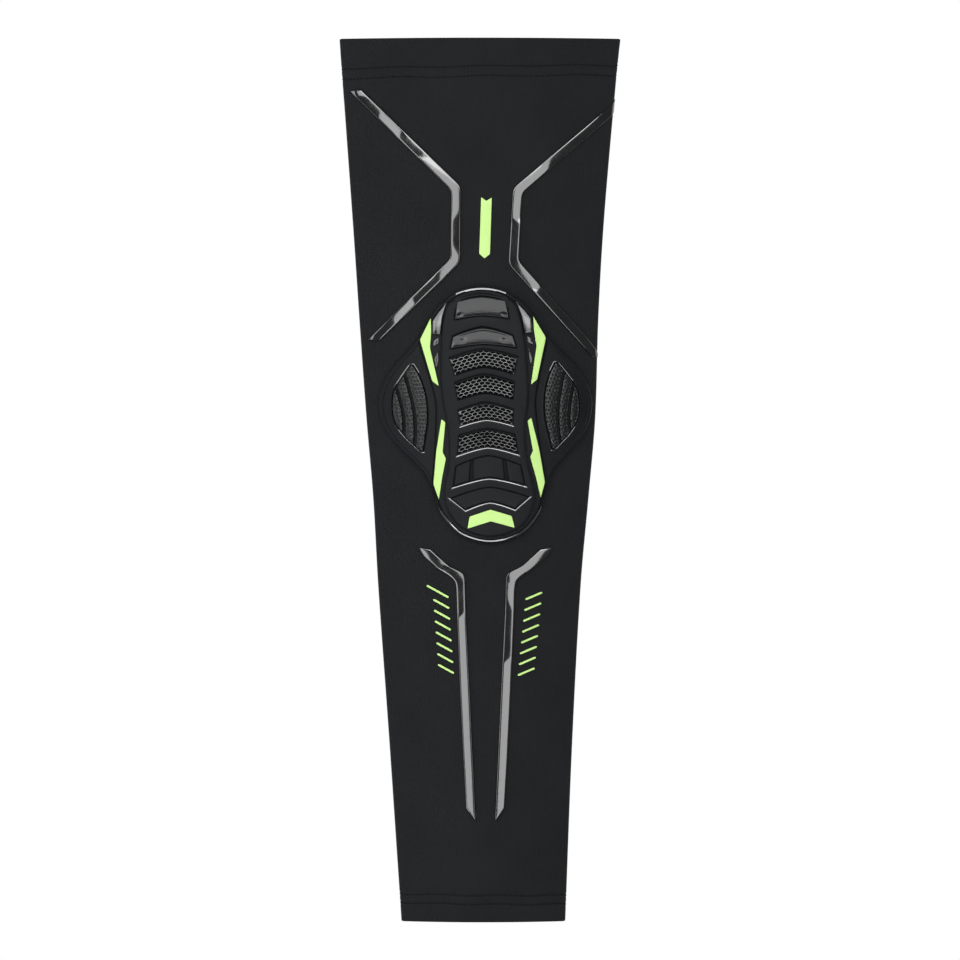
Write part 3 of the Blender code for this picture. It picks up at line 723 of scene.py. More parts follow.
def grain_bump(tree, shader, place, scale, strength, distance):
    """Give a moulded face the fine grain of its mould."""
    grain = node(
        tree,
        "ShaderNodeTexNoise",
        {"Vector": place, "Scale": scale, "Detail": 4.0, "Roughness": 0.62},
    )
    bump = node(
        tree,
        "ShaderNodeBump",
        {"Height": grain.outputs[0], "Strength": strength, "Distance": distance},
    )
    tree.links.new(bump.outputs[0], shader.inputs["Normal"])
    return grain


def grained(name, sockets, grain, colours, rough):
    """A finish whose grain, given by scale, strength and depth, also varies its colour
    and its roughness."""
    made, tree, shader = new_material(name, sockets)
    place = node(tree, "ShaderNodeTexCoord", {}).outputs["Object"]
    share = grain_bump(tree, shader, place, *grain).outputs[0]
    mottled(tree, shader, share, *colours, rough)
    return made


# Moulded rubber: TPR out of a spark-eroded mould, so it is matte with a fine grain and
# goes slightly paler where it has been handled.
rubber, tree, shader = new_material("moulded TPR rubber", {"Specular IOR Level": 0.11})
place = node(tree, "ShaderNodeTexCoord", {}).outputs["Object"]
grain = grain_bump(tree, shader, place, 2600.0, 0.35, 0.00006)
patches = node(tree, "ShaderNodeTexNoise", {"Vector": place, "Scale": 90.0, "Detail": 3.0})
mottled(tree, shader, patches.outputs[0], "0E0F11", "15171A", (0.44, 0.58))


# Gloss rubber: TPR from a mirror-polished cavity, with faint flow lines that break up
# its reflections.
def flowed_gloss(name, ripple, lustre, coat):
    """The glossy finish, with the given strength of the ripples its flow left, and how
    much its face and its skin mirror."""
    made, tree, shader = new_material(
        name,
        {
            "Specular IOR Level": lustre,
            "Coat Weight": coat,
            "Coat Roughness": 0.10,
            "Coat IOR": 1.6,
        },
    )
    place = node(tree, "ShaderNodeTexCoord", {}).outputs["Object"]
    stretched = node(tree, "ShaderNodeMapping", {"Vector": place, "Scale": (0.35, 2.4, 1.0)})
    flow = node(
        tree,
        "ShaderNodeTexNoise",
        {"Vector": stretched.outputs[0], "Scale": 420.0, "Detail": 3.0, "Roughness": 0.55},
    )
    flow_bump = node(
        tree,
        "ShaderNodeBump",
        {"Height": flow.outputs[0], "Strength": ripple, "Distance": 0.00005},
    )
    tree.links.new(flow_bump.outputs[0], shader.inputs["Normal"])
    mottled(tree, shader, flow.outputs[0], "0E0F11", "17181A", (0.10, 0.18))
    return made


gloss = flowed_gloss("gloss TPR rubber", 0.5, 0.55, 0.40)
smooth_gloss = flowed_gloss("satin gloss TPR rubber", 0.9, 0.26, 0.12)

# Polished edges: the rims of the same rubber, mirror-bright where the mould was lapped.
edge_gloss = grained(
    "polished TPR edge",
    {"Specular IOR Level": 1.0, "Coat Weight": 1.0, "Coat Roughness": 0.10, "Coat IOR": 1.8},
    (1200.0, 0.2, 0.00004),
    ("101113", "191B1D"),
    (0.14, 0.24),
)

shape, lid = block(pad_outline(PAD_OUTLINE), SEAT_GAP, RIM_TOP - BEAD_RISE)
stepped(shape, lid, RIM_BEAD)
polished(
    shape,
    set(shape.faces) - {lid},
    lambda normal, place: 0.12 < normal.y * math.copysign(1, place.y) < 0.75
    and (
        place.y < FOOT_SHINE * PAD_SCALE.y
        or place.y > TOP_SHINE * PAD_SCALE.y
        and abs(place.x) < TOP_SHINE_REACH
    ),
)
low_side, high_side = wing_edges(1, 4, 0, 0, rows=44, least=0.0009)
leaf = grown(low_side + high_side[::-1], LIP_REACH)
for recess in opened(shape, lid, [leaf, mirrored(leaf)]):
    before = set(shape.faces)
    stepped(shape, recess, LEAF_LIP)
    polished(
        shape,
        set(shape.faces) - before,
        lambda normal, place: 0.2 < normal.z < 0.96 and abs(normal.y) > 0.25,
    )
bmesh.ops.recalc_face_normals(shape, faces=shape.faces)
seat_cutter = grown(pad_outline(SHOULDER_OUTLINE), SIDE_GAP)
cutter_shape, _ = block(seat_cutter, SPINE_FLOOR, RAIL_TOP)
bmesh.ops.recalc_face_normals(cutter_shape, faces=cutter_shape.faces)


def cut_out(shape, cutter_shape):
    """Cut one closed shape out of another, and use both up."""
    holders = [put_in("cut", shape), put_in("cutter", cutter_shape)]
    modifier = holders[0].modifiers.new("cut", "BOOLEAN")
    modifier.operation = "DIFFERENCE"
    modifier.object = holders[1]
    shown = holders[0].evaluated_get(bpy.context.evaluated_depsgraph_get())
    result = bmesh.new()
    result.from_mesh(shown.data)
    for holder in holders:
        bpy.data.objects.remove(holder)
    return result


shape = cut_out(shape, cutter_shape)
sliced(shape, PAD_SLICE)
base = finished(
    "pad_flange", laid_on_pad(shape), rubber, ["pad_base"], edge_finish=edge_gloss
)

# The wings' ribs: three curved bars of textured rubber in each leaf, parted by grooves,
# each with a fine raised mesh on it and ends that taper to a point.
RIB_BOTTOM = 0.0019
RIB_TOP = 0.0035
RIB_GROOVE = 0.0012
RIB_ROUND = 0.0006
RIB_CROWN = 0.00025
RIB_GRID = (30, 200)  # faces across and along
MESH_PITCH = (0.00155, 0.00176)
MESH_HOLE = (0.00062, 0.00060)
MESH_DEPTH = 0.00040

# Textured rubber: the same TPR from a polished part of the mould, so that its raised
# mesh catches the light on its shiny tops.
textured = grained(
    "textured TPR rubber",
    {"Specular IOR Level": 0.7, "Coat Weight": 0.6, "Coat Roughness": 0.12},
    (1500.0, 0.25, 0.00005),
    ("131416", "1C1E20"),
    (0.20, 0.30),
)

# Etched rubber: the ribs' part of the mould was etched over, so only the crests of their
# mesh are a little shiny.
etched = grained(
    "etched TPR rubber",
    {"Specular IOR Level": 0.45},
    (1500.0, 0.3, 0.00006),
    ("0A0B0C", "131416"),
    (0.22, 0.34),
)

QUARTER = [math.pi / 8 * part for part in range(5)]
BORDER = [(1 - math.cos(angle), 1 - math.sin(angle)) for angle in QUARTER]


def border_stops(length, edge, count):
    """Places across a length, with how far each lies under the top: a rounded border at
    both ends and even steps between."""
    edge = min(edge, length / 3)
    near = [(edge * inward, edge * drop) for inward, drop in BORDER]
    inside = [(edge + (length - 2 * edge) * step / count, 0.0) for step in range(1, count)]
    far = [(length - inward, drop) for inward, drop in reversed(near)]
    return near + inside + far


def closed_below(shape, bottom):
    """Drop a skirt from a sheet's border, fill its foot, and cut the large faces."""
    rim = [edge for edge in shape.edges if edge.is_boundary]
    skirt = bmesh.ops.extrude_edge_only(shape, edges=rim)["geom"]
    for part in skirt:
        if isinstance(part, bmesh.types.BMVert):
            part.co.z = bottom
    bmesh.ops.holes_fill(shape, edges=[edge for edge in shape.edges if edge.is_boundary])
    sliced(shape, PAD_SLICE)


def pillow(left, right, bottom, top, edge, grid, relief):
    """A moulded piece between two edges: a grid laid across them with a rounded border,
    its skirt and its flat underside."""
    across_count, along_count = grid
    pairs = [(Vector(a), Vector(b)) for a, b in zip(left, right)]
    middles = [(a + b) / 2 for a, b in pairs]
    runs = [0.0]
    for before, after in zip(middles, middles[1:]):
        runs.append(runs[-1] + (after - before).length)
    along = border_stops(runs[-1], edge, along_count)
    columns = len(border_stops(1.0, edge, across_count))
    shape = bmesh.new()
    made = bmesh.ops.create_grid(
        shape, x_segments=columns - 1, y_segments=len(along) - 1, size=0.5
    )["verts"]
    ladder = []
    for run, end_drop in along:
        index = max(i for i in range(len(runs) - 1) if runs[i] <= run or i == 0)
        share = (run - runs[index]) / (runs[index + 1] - runs[index])
        a = pairs[index][0].lerp(pairs[index + 1][0], share)
        b = pairs[index][1].lerp(pairs[index + 1][1], share)
        stops = border_stops((b - a).length, edge, across_count)
        ladder.append((a, b, end_drop, run / runs[-1], stops))
    for vert in made:
        column = round((vert.co.x + 0.5) * (columns - 1))
        row = round((vert.co.y + 0.5) * (len(along) - 1))
        a, b, end_drop, up, stops = ladder[row]
        width = (b - a).length
        out, side_drop = stops[column]
        place = a.lerp(b, out / width)
        inside = min(out, width - out, along[row][0], runs[-1] - along[row][0])
        rise = relief(place.x, place.y, 2 * out / width - 1, up, inside)
        vert.co = (place.x, place.y, top - max(side_drop, end_drop) + rise)
    closed_below(shape, bottom)
    return shape


def mesh_relief(x, y, side, up, inside):
    """A crown, and staggered rows of dimples that leave a raised mesh."""
    row = round(y / MESH_PITCH[1])
    column = x / MESH_PITCH[0] + (row % 2) / 2
    east = (column - round(column)) * MESH_PITCH[0] / MESH_HOLE[0]
    north = (y / MESH_PITCH[1] - row) * MESH_PITCH[1] / MESH_HOLE[1]
    depth = MESH_DEPTH * min(1.0, max(0.0, 2.2 * (1 - math.hypot(east, north))))
    fade = min(1.0, max(0.0, (inside - 0.0003) / 0.0004))
    return RIB_CROWN * (1 - side**2) - depth * fade


groove = RIB_GROOVE / 2
spans = ((1, 2, SIDE_GAP, groove), (2, 3, groove, groove), (3, 4, groove, SIDE_GAP))
for number, span in enumerate(spans, 1):
    low_side, high_side = wing_edges(*span, rows=120, least=0.0004)
    for side, sign in (("right", 1), ("left", -1)):
        left, right = (sized(edge, (sign, 1)) for edge in (low_side, high_side))
        shape = pillow(left, right, RIB_BOTTOM, RIB_TOP, RIB_ROUND, RIB_GRID, mesh_relief)
        rib_piece = finished(
            f"mesh_rib_{side}_{number}",
            laid_on_pad(shape),
            etched,
            [f"wing_rib_{side}_{number}"],
        )

# The spine: a raised ladder of the same matte rubber, standing in the flange's seat. A
# low shoulder carries its rails, and eight windows with softened edges hold the panels.
SHOULDER_ROUND = 0.0007
RAIL_ROUND = 0.0010
RAIL_OUTLINE = (
    (0.000, 0.955), (0.225, 0.912), (0.315, 0.868), (0.361, 0.762), (0.385, 0.667),
    (0.400, 0.509), (0.410, 0.353), (0.412, 0.225), (0.398, 0.070), (0.368, -0.070),
    (0.362, -0.242), (0.378, -0.400), (0.415, -0.537), (0.430, -0.641), (0.392, -0.760),
    (0.290, -0.872), (0.145, -0.935), (0.000, -0.953),
)

# The windows: name, top and bottom on the axis, half widths at the top and bottom, and
# how far those edges fall away at their ends
WINDOWS = (
    ("cap_panel", 0.930, 0.772, 0.230, 0.256, 0.033, 0.028),
    ("brow_panel", 0.691, 0.548, 0.284, 0.311, 0.070, 0.030),
    ("honeycomb_panel_1", 0.518, 0.372, 0.323, 0.278, 0.066, 0.060),
    ("honeycomb_panel_2", 0.322, 0.168, 0.282, 0.259, 0.066, 0.050),
    ("honeycomb_panel_3", 0.102, -0.035, 0.263, 0.245, 0.062, 0.048),
    ("honeycomb_panel_4", -0.106, -0.251, 0.263, 0.286, 0.050, 0.062),
    ("block_panel", -0.318, -0.494, 0.305, 0.340, 0.079, 0.066),
    ("toe_panel", -0.565, -0.682, 0.367, 0.232, 0.083, 0.060),
)
WINDOW_BOW = 1.4
WINDOW_EDGE = 0.00068
WINDOW_PROFILE = (
    (0.00040, -0.00010),
    (0.00012, -0.00008),
    (0.00010, -0.00014),
    (0.00006, -0.00148),
)


def bowed(row, side, up):
    """A place in a window: side from -1 to 1, up from its bottom to its top edge."""
    _, top, bottom, top_half, bottom_half, top_fall, bottom_fall = row
    half = bottom_half + (top_half - bottom_half) * up
    fall = bottom_fall + (top_fall - bottom_fall) * up
    height = bottom + (top - bottom) * up - fall * abs(side) ** WINDOW_BOW
    return (half * side * PAD_SCALE.x, height * PAD_SCALE.y)


def window_outline(row, count=10):
    """A window's four edges, of which the top and the bottom one are bowed."""
    sides = [2 * step / count - 1 for step in range(count + 1)]
    return [bowed(row, side, 1) for side in sides] + [bowed(row, side, 0) for side in sides[::-1]]


def window_shine(normal, place):
    """The chamfers at the feet of the lower windows are polished."""
    return normal.z > 0.4 and normal.y > 0.14 and place.y < 0.1 * PAD_SCALE.y


outline = pad_outline(SHOULDER_OUTLINE)
shape, lid = block(outline, SPINE_FLOOR + SEAT_GAP, SHOULDER_TOP - SHOULDER_ROUND)
stepped(shape, lid, round_edge(SHOULDER_ROUND))
(lid,) = opened(shape, lid, [pad_outline(RAIL_OUTLINE)])
stepped(shape, lid, [(0.00012, RAIL_TOP - RAIL_ROUND - SHOULDER_TOP)])
stepped(shape, lid, round_edge(RAIL_ROUND))
holes = [grown(window_outline(row), WINDOW_EDGE) for row in WINDOWS]
for window in opened(shape, lid, holes):
    before = set(shape.faces)
    stepped(shape, window, WINDOW_PROFILE)
    polished(shape, set(shape.faces) - before, window_shine)
sliced(shape, PAD_SLICE)
spine = finished(
    "pad_ladder", laid_on_pad(shape), rubber, ["pad_spine"], edge_finish=edge_gloss
)

# The smooth panels: polished pads of rubber in the top two windows, and matte ones in
# the lowest two. The block panel is parted by two grooves.
PANEL_FLOOR = 0.0061
PANEL_GAP = 0.00010
PANEL_TOP = 0.0080
BLOCK_SPLIT = 0.160
BLOCK_GROOVE = 0.0012
PANEL_GRID = (24, 14)
ARCH_RADIUS = 0.103  # of the sleeve under the pad
CAP_RISE = 0.0003
CAP_FALL = 0.0015
BROW_FALL = 0.0013
BROW_LIP = 0.0003
DIMPLE = 0.0004
BLOCK_RISE = 0.0006
DISH_EDGE = 0.0006  # a dish fades out over this distance from its panel's edge
TOE_SINK = 0.0003


def window_size(row):
    """A window's height and half its mean width."""
    return (row[1] - row[2]) * PAD_SCALE.y, (row[3] + row[4]) / 2 * PAD_SCALE.x


def window_piece(row, low, high, edge, relief, count=40):
    """A pillow that fills a window from one share of its width to another."""
    height, half = window_size(row)
    start = low + (PANEL_GAP if low == -1 else BLOCK_GROOVE / 2) / half
    stop = high - (PANEL_GAP if high == 1 else BLOCK_GROOVE / 2) / half
    gap = PANEL_GAP / height
    shares = [gap + (1 - 2 * gap) * step / count for step in range(count + 1)]
    left, right = ([(side * half, share * height) for share in shares] for side in (start, stop))
    shape = pillow(left, right, PANEL_FLOOR, PANEL_TOP, edge, PANEL_GRID, relief)
    for vert in shape.verts:
        x, y = bowed(row, vert.co.x / half, vert.co.y / height)
        vert.co = (x, y, vert.co.z)
    return shape


def levelled(x):
    """What it takes to keep a panel flat across, over the arch of the sleeve."""
    return x**2 / (2 * ARCH_RADIUS)


def bump(place, middle, width):
    """A smooth bump: 1 in its middle, and 0 well beyond its width."""
    return math.exp(-(((place - middle) / width) ** 2))


def cap_relief(x, y, side, up, inside):
    """Falling away to the pad's upper end, with a dimple near each lower corner."""
    fall = CAP_FALL * max(0.0, up - 0.1) ** 2
    dimple = bump(abs(side), 0.84, 0.06) * bump(up, 0.18, 0.09)
    return CAP_RISE + levelled(x) - fall - DIMPLE * dimple


def brow_relief(x, y, side, up, inside):
    """Falling away to the pad's upper end, with a lip along its top edge."""
    lip = bump(up, 0.86, 0.07) * (1 - 0.8 * side**4)
    fall = BROW_FALL * max(0.0, up - 0.05) ** 2
    dimple = bump(abs(side), 0.66, 0.05) * bump(up, 0.42, 0.12)
    return levelled(x) + BROW_LIP * lip - fall - DIMPLE * dimple


def toe_relief(x, y, side, up, inside):
    """Dished and flat across, rising to its lower edge."""
    dish = BLOCK_RISE * (1 - up) ** 2 * min(1.0, inside / DISH_EDGE)
    return levelled(x) + dish - TOE_SINK


def block_relief(x, y, side, up, inside):
    """Dished: the face rises to its lower edge, most of all in the middle."""
    return BLOCK_RISE * (1 - up) ** 2 * (1 - 0.5 * side**2) * min(1.0, inside / DISH_EDGE)


windows = {row[0]: row for row in WINDOWS}
split = BLOCK_SPLIT * 2 / (windows["block_panel"][3] + windows["block_panel"][4])
SMOOTH = (0.0006, smooth_gloss, "gloss_rubber")
TOE = (0.0006, rubber, "pad_rubber")
BLOCK = (0.0007, rubber, "pad_rubber")
PANELS = (
    ("cap_panel", "polished_cap", -1, 1, cap_relief, SMOOTH),
    ("brow_panel", "polished_brow", -1, 1, brow_relief, SMOOTH),
    ("toe_panel", "matte_toe", -1, 1, toe_relief, TOE),
    ("block_panel_left", "matte_block_left", -1, -split, block_relief, BLOCK),
    ("block_panel_middle", "matte_block_middle", -split, split, block_relief, BLOCK),
    ("block_panel_right", "matte_block_right", split, 1, block_relief, BLOCK),
)
for cad_node, name, low, high, relief, (edge, finish, slot) in PANELS:
    row = windows.get(cad_node, windows["block_panel"])
    shape = window_piece(row, low, high, edge, relief)
    panel = finished(name, laid_on_pad(shape), finish, [cad_node])

# The honeycomb panels: bands of textured rubber with rows of deep six-sided cells, whose
# walls are rounded and shine.
CELL_PITCH = 0.00252
CELL_SQUASH = 0.62
CELL_STEPS = (
    (0.00013, -0.00001),
    (0.00004, -0.00006),
    (0.00003, -0.00016),
    (0.00003, -0.00140),
)
LEAST_CELL = 0.00058
COMB_DROP = 0.0010  # how far the cells stay under the window's upper edge
COMB_LIP = 0.0002
COMB_SINK = 0.0004
COMB_RISE = (0.0012, 0.0009, 0.0006, 0.0003)  # of each band's cells to its lower edge

# Painted shade: a rough, near-black rubber for the floors of the cells, whose dark colour paints
# the shade deep down in each cell.
shade = grained(
    "TPR rubber with painted cell shade",
    {"Specular IOR Level": 0.1},
    (2600.0, 0.4, 0.00006),
    ("050506", "0B0C0D"),
    (0.6, 0.8),
)


def honeycomb(row, rise):
    """A sheet of cells, cut to the straightened window, sunk, closed and then bowed."""
    height, half = window_size(row)
    reach = half - PANEL_GAP
    low, high = PANEL_GAP - height / 2, height / 2 - COMB_DROP
    row_pitch = CELL_PITCH * CELL_SQUASH * math.sqrt(3) / 2
    shape = bmesh.new()
    columns, levels = math.ceil(reach / CELL_PITCH) + 1, math.ceil(height / row_pitch) + 1
    for level in range(levels):
        for column in range(-columns, columns + 1):
            x = (column + (level % 2) / 2) * CELL_PITCH
            y = low + (level + 0.35) * row_pitch
            squashed = Matrix.Diagonal((1, CELL_SQUASH, 1, 1))
            bmesh.ops.create_circle(
                shape,
                cap_ends=True,
                segments=6,
                radius=CELL_PITCH / math.sqrt(3),
                matrix=Matrix.Translation((x, y, PANEL_TOP)) @ squashed,
            )
    bmesh.ops.remove_doubles(shape, verts=shape.verts, dist=1e-5)
    for place, normal in (
        ((reach, 0, 0), (1, 0, 0)),
        ((-reach, 0, 0), (-1, 0, 0)),
        ((0, high, 0), (0, 1, 0)),
        ((0, low, 0), (0, -1, 0)),
    ):
        every = shape.verts[:] + shape.edges[:] + shape.faces[:]
        bmesh.ops.bisect_plane(
            shape, geom=every, dist=1e-5, plane_co=place, plane_no=normal, clear_outer=True
        )
    cells = [
        face for face in shape.faces if 2 * face.calc_area() / face.calc_perimeter() > LEAST_CELL
    ]
    for inward, sink in CELL_STEPS:
        bmesh.ops.inset_individual(
            shape, faces=cells, thickness=inward, depth=sink, use_even_offset=True
        )
    # The cells' floors take the near-black finish that paints their shade.
    for cell in cells:
        cell.material_index = 1
    for vert in shape.verts:
        if vert.is_boundary:
            vert.co.z -= COMB_LIP
    closed_below(shape, PANEL_FLOOR)
    for vert in shape.verts:
        up = vert.co.y / height + 0.5
        x, y = bowed(row, vert.co.x / half, up)
        dished = rise * (1 - up) ** 2 if vert.co.z > PANEL_FLOOR + COMB_LIP else 0.0
        vert.co = (x, y, vert.co.z - COMB_SINK + dished)
    return shape


for number, rise in enumerate(COMB_RISE, 1):
    shape = honeycomb(windows[f"honeycomb_panel_{number}"], rise)
    bmesh.ops.recalc_face_normals(shape, faces=shape.faces)
    # The second finish is the near-black one that paints shade on the cells' floors.
    comb = finished(
        f"honeycomb_band_{number}",
        laid_on_pad(shape),
        textured,
        [f"honeycomb_panel_{number}"],
        sharp=50,
        edge_finish=shade,
    )

# The shoulder's trim: lime film slashes, gloss panels and small gloss claws in front of
# them, on both sides, and a lime chevron on the toe. They are pressed on, with soft edges.
INLAY = 0.0007
FLANK_CROWN = 0.0018  # how much the flank panels fall to the pad's front edge
UPPER_SLASH = (
    (0.479, 0.765), (0.590, 0.596), (0.491, 0.270), (0.431, 0.230), (0.499, 0.530),
    (0.481, 0.658),
)
LOWER_SLASH = (
    (0.421, -0.028), (0.385, -0.052), (0.423, -0.287), (0.394, -0.334), (0.440, -0.493),
    (0.477, -0.655), (0.522, -0.535), (0.483, -0.282),
)
FLANK_PANEL = (
    (0.328, 0.880), (0.408, 0.803), (0.462, 0.742), (0.468, 0.640), (0.400, 0.632),
    (0.374, 0.770),
)
UPPER_CLAW = ((0.414, 0.612), (0.462, 0.585), (0.470, 0.540), (0.414, 0.565))
LOWER_CLAW = ((0.424, 0.515), (0.464, 0.440), (0.448, 0.360), (0.424, 0.430))
CHEVRON = ((0.000, -0.741), (0.197, -0.793), (0.220, -0.886), (0.000, -0.832))

# Lime film: polyurethane heat-transfer film in pale lime, satin, with a faint mottle
# where it has taken up the cloth under it.
lime, tree, shader = new_material("lime PU film", {"Specular IOR Level": 0.35})
place = node(tree, "ShaderNodeTexCoord", {}).outputs["Object"]
grain = grain_bump(tree, shader, place, 1400.0, 0.3, 0.00005)
mottle = node(tree, "ShaderNodeTexNoise", {"Vector": place, "Scale": 240.0, "Detail": 3.0})
mottled(tree, shader, mottle.outputs[0], "ABCE78", "B5D982")
lime_rough = node(
    tree, "ShaderNodeMapRange", {0: grain.outputs[0], 1: 0.3, 2: 0.7, 3: 0.45, 4: 0.6}
)
tree.links.new(lime_rough.outputs[0], shader.inputs["Roughness"])


def eased(points, radius, parts=3):
    """An outline with its corners cut back and rounded."""
    corners = [Vector(point) for point in points]
    result = []
    for before, here, after in zip(corners[-1:] + corners, corners, corners[1:] + corners[:1]):
        into, out = before - here, after - here
        start = here + into.normalized() * min(radius, into.length * 0.4)
        end = here + out.normalized() * min(radius, out.length * 0.4)
        for part in range(parts + 1):
            share = part / parts
            result.append(tuple(start.lerp(here, share).lerp(here.lerp(end, share), share)))
    return result


def plate(outline, bottom, top, edge):
    """A thin flat piece with its upper edge rounded."""
    shape, lid = block(outline, bottom, top - edge)
    stepped(shape, lid, round_edge(edge, 3))
    bmesh.ops.recalc_face_normals(shape, faces=shape.faces)
    sliced(shape, PAD_SLICE)
    return shape


INLAY_ROUND = 0.0002
TRIM_CORNER = 0.0006
CHEVRON_CORNER = 0.0005
LIME = (lime, "lime_film")
GLOSS = (gloss, "gloss_rubber")
SHOULDER_PIECES = (
    ("upper_slash", "", UPPER_SLASH, LIME),
    ("lower_slash", "", LOWER_SLASH, LIME),
    ("flank_panel", "", FLANK_PANEL, GLOSS),
    ("flank_claw", "_1", UPPER_CLAW, GLOSS),
    ("flank_claw", "_2", LOWER_CLAW, GLOSS),
)
bottom = SHOULDER_TOP + SEAT_GAP
for stem, number, shares, (finish, slot) in SHOULDER_PIECES:
    right = eased(sized(shares, PAD_SCALE), TRIM_CORNER)
    for side, outline in (("right", right), ("left", mirrored(right))):
        cad_node = f"{stem}_{side}{number}"
        shape = plate(outline, bottom, bottom + INLAY, INLAY_ROUND)
        for vert in shape.verts:
            if stem == "flank_panel" and vert.co.z > bottom + INLAY / 2:
                up = vert.co.y / PAD_SCALE.y
                vert.co.z += FLANK_CROWN * (1 - ((up - 0.62) / 0.26) ** 2)
        finished(f"trim_{cad_node}", laid_on_pad(shape), finish, [cad_node])
bottom = RAIL_TOP + SEAT_GAP
outline = eased(sized(whole(CHEVRON), PAD_SCALE), CHEVRON_CORNER)
shape = plate(outline, bottom, bottom + INLAY, INLAY_ROUND)
finished("trim_chevron", laid_on_pad(shape), lime, ["chevron"])

# The upper strips: two bent bands of thick gloss film above the pad, welded to the knit,
# with a lime arrow printed between them. The film rides up and down with the cloth.
STRIP_BOTTOM = 0.0003
STRIP_TOP = 0.0014
STRIP_ROUND = 0.00035
STRIP_CROWN = 0.00003
STRIP_GRID = (8, 110)
UPPER_STRIP_REACH = 0.0632
UPPER_STRIP_LENGTH = 0.1130
UPPER_PLACE = (0.0026, 0.1182, math.radians(-1.9))
RIGHT_TIP_RUN = 0.0060
TIP_WRAP = 0.0040

# Rungs of the right strip: its inner and outer edge, as shares of reach and half length
UPPER_RUNGS = (
    ((0.918, 1.000), (1.000, 0.989)),
    ((0.186, 0.250), (0.252, 0.216)),
    ((0.171, -0.359), (0.240, -0.332)),
    ((0.722, -0.997), (0.808, -1.000)),
)

# Gloss film: black thermoplastic polyurethane with a lacquered face. It mirrors the
# lamps in broad bands, slightly rippled by the knit underneath.
gloss_film, tree, shader = new_material(
    "gloss TPU film",
    {"IOR": 1.62, "Coat Weight": 1.0, "Coat Roughness": 0.05, "Coat IOR": 1.6},
)
place = node(tree, "ShaderNodeTexCoord", {}).outputs["Object"]
ripple = node(
    tree,
    "ShaderNodeTexNoise",
    {"Vector": place, "Scale": 210.0, "Detail": 2.0, "Roughness": 0.5},
)
ripple_bump = node(
    tree, "ShaderNodeBump", {"Height": ripple.outputs[0], "Strength": 0.35, "Distance": 0.0001}
)
tree.links.new(ripple_bump.outputs[0], shader.inputs["Normal"])
mottled(tree, shader, ripple.outputs[0], "08090A", "101113", (0.08, 0.13))


def strip_edges(rungs, sign):
    """The eased edges of a strip, drawn through its rungs with the same steps on both."""
    middles = [(Vector(a) + Vector(b)) / 2 for a, b in rungs]
    inner, outer = [], []
    for (a, b), (c, d), here, there in zip(rungs, rungs[1:], middles, middles[1:]):
        count = max(2, round((there - here).length / 0.0008))
        for step in range(count):
            inner.append(Vector(a).lerp(Vector(c), step / count))
            outer.append(Vector(b).lerp(Vector(d), step / count))
    inner.append(Vector(rungs[-1][0]))
    outer.append(Vector(rungs[-1][1]))
    for _ in range(6):
        for line in (inner, outer):
            inside = [(a + 2 * b + c) / 4 for a, b, c in zip(line, line[1:], line[2:])]
            line[1:-1] = inside
    return [(sign * p.x, p.y) for p in inner], [(sign * p.x, p.y) for p in outer]


def within_fold(start, end, side):
    """The last place from start to end, on a flat strip, that is inside the fold."""
    across, along, turn = UPPER_PLACE
    low, high = 0.0, 1.0
    share = 1.0
    for _ in range(20):
        place = Matrix.Rotation(turn, 2) @ start.lerp(end, share) + Vector((across, along))
        section = Section(place.y)
        if (place.x - section.middle) * side <= section.arch_reach + TIP_WRAP:
            low = share
        else:
            high = share
        share = (low + high) / 2
        if low == 1.0:
            break
    return start.lerp(end, low)


def upper_rungs(side):
    """The rungs of one upper strip, its tips kept inside the sleeve's fold."""
    scale = (side * UPPER_STRIP_REACH, UPPER_STRIP_LENGTH / 2)
    rungs = [[Vector(point) for point in sized(rung, scale)] for rung in UPPER_RUNGS]
    if side == 1:
        run = (rungs[3][0] - rungs[2][0]).normalized() * RIGHT_TIP_RUN
        rungs[3] = [point + run for point in rungs[3]]
    for tip, root in ((0, 1), (3, 2)):
        rungs[tip] = [
            within_fold(start, end, side) for start, end in zip(rungs[root], rungs[tip])
        ]
    return rungs


def strip_relief(rolls):
    """A strip's crown, and its roll to one side or the other along its length."""

    def relief(x, y, side, up, inside):
        here, there = next((a, b) for a, b in zip(rolls, rolls[1:]) if up <= b[0] + 1e-6)
        share = (up - here[0]) / (there[0] - here[0])
        roll = (here[1] + (there[1] - here[1]) * share) / 1000
        return STRIP_CROWN * (1 - side**2) + roll * side / 2

    return relief


# How each strip rolls: share of the way down it, and how far its outer edge stands above
# its inner one, in millimetres
UPPER_ROLLS = {
    "left": (
        (0, 0.00), (0.02, 0.00), (0.03, -0.30), (0.06, -0.35), (0.1, -0.45), (0.12, -0.20),
        (0.185, -0.20), (0.2, 0.10), (0.24, 0.10), (0.285, 0.00), (0.3, 0.25),
        (0.36, 0.12), (0.42, 0.00), (0.5, 0.00), (0.53, 0.28), (0.615, 0.28),
        (0.635, 0.00), (0.71, 0.05), (0.735, -0.15), (0.78, 0.10), (0.825, 0.30),
        (0.84, 0.00), (0.9, 0.10), (0.915, 0.10), (0.93, -0.10), (1, 0.00),
    ),
    "right": (
        (0, 0.00), (0.14, 0.00), (0.2, -0.20), (0.25, -0.30), (0.28, -0.35), (0.295, 0.10),
        (0.38, 0.00), (0.45, -0.20), (0.485, -0.20), (0.5, 0.30), (0.66, 0.30),
        (0.7, 0.45), (0.715, 0.50), (0.73, -0.40), (0.77, -0.30), (0.8, -0.20),
        (0.85, -0.05), (0.9, 0.00), (1, 0.00),
    ),
}


def film_strip(name, edges, rolls, place, cad_node):
    """A welded strip of gloss film between its two edges."""
    relief = strip_relief(rolls)
    shape = pillow(*edges, STRIP_BOTTOM, STRIP_TOP, STRIP_ROUND, STRIP_GRID, relief)
    finished(name, laid(shape, *place), gloss_film, [cad_node])


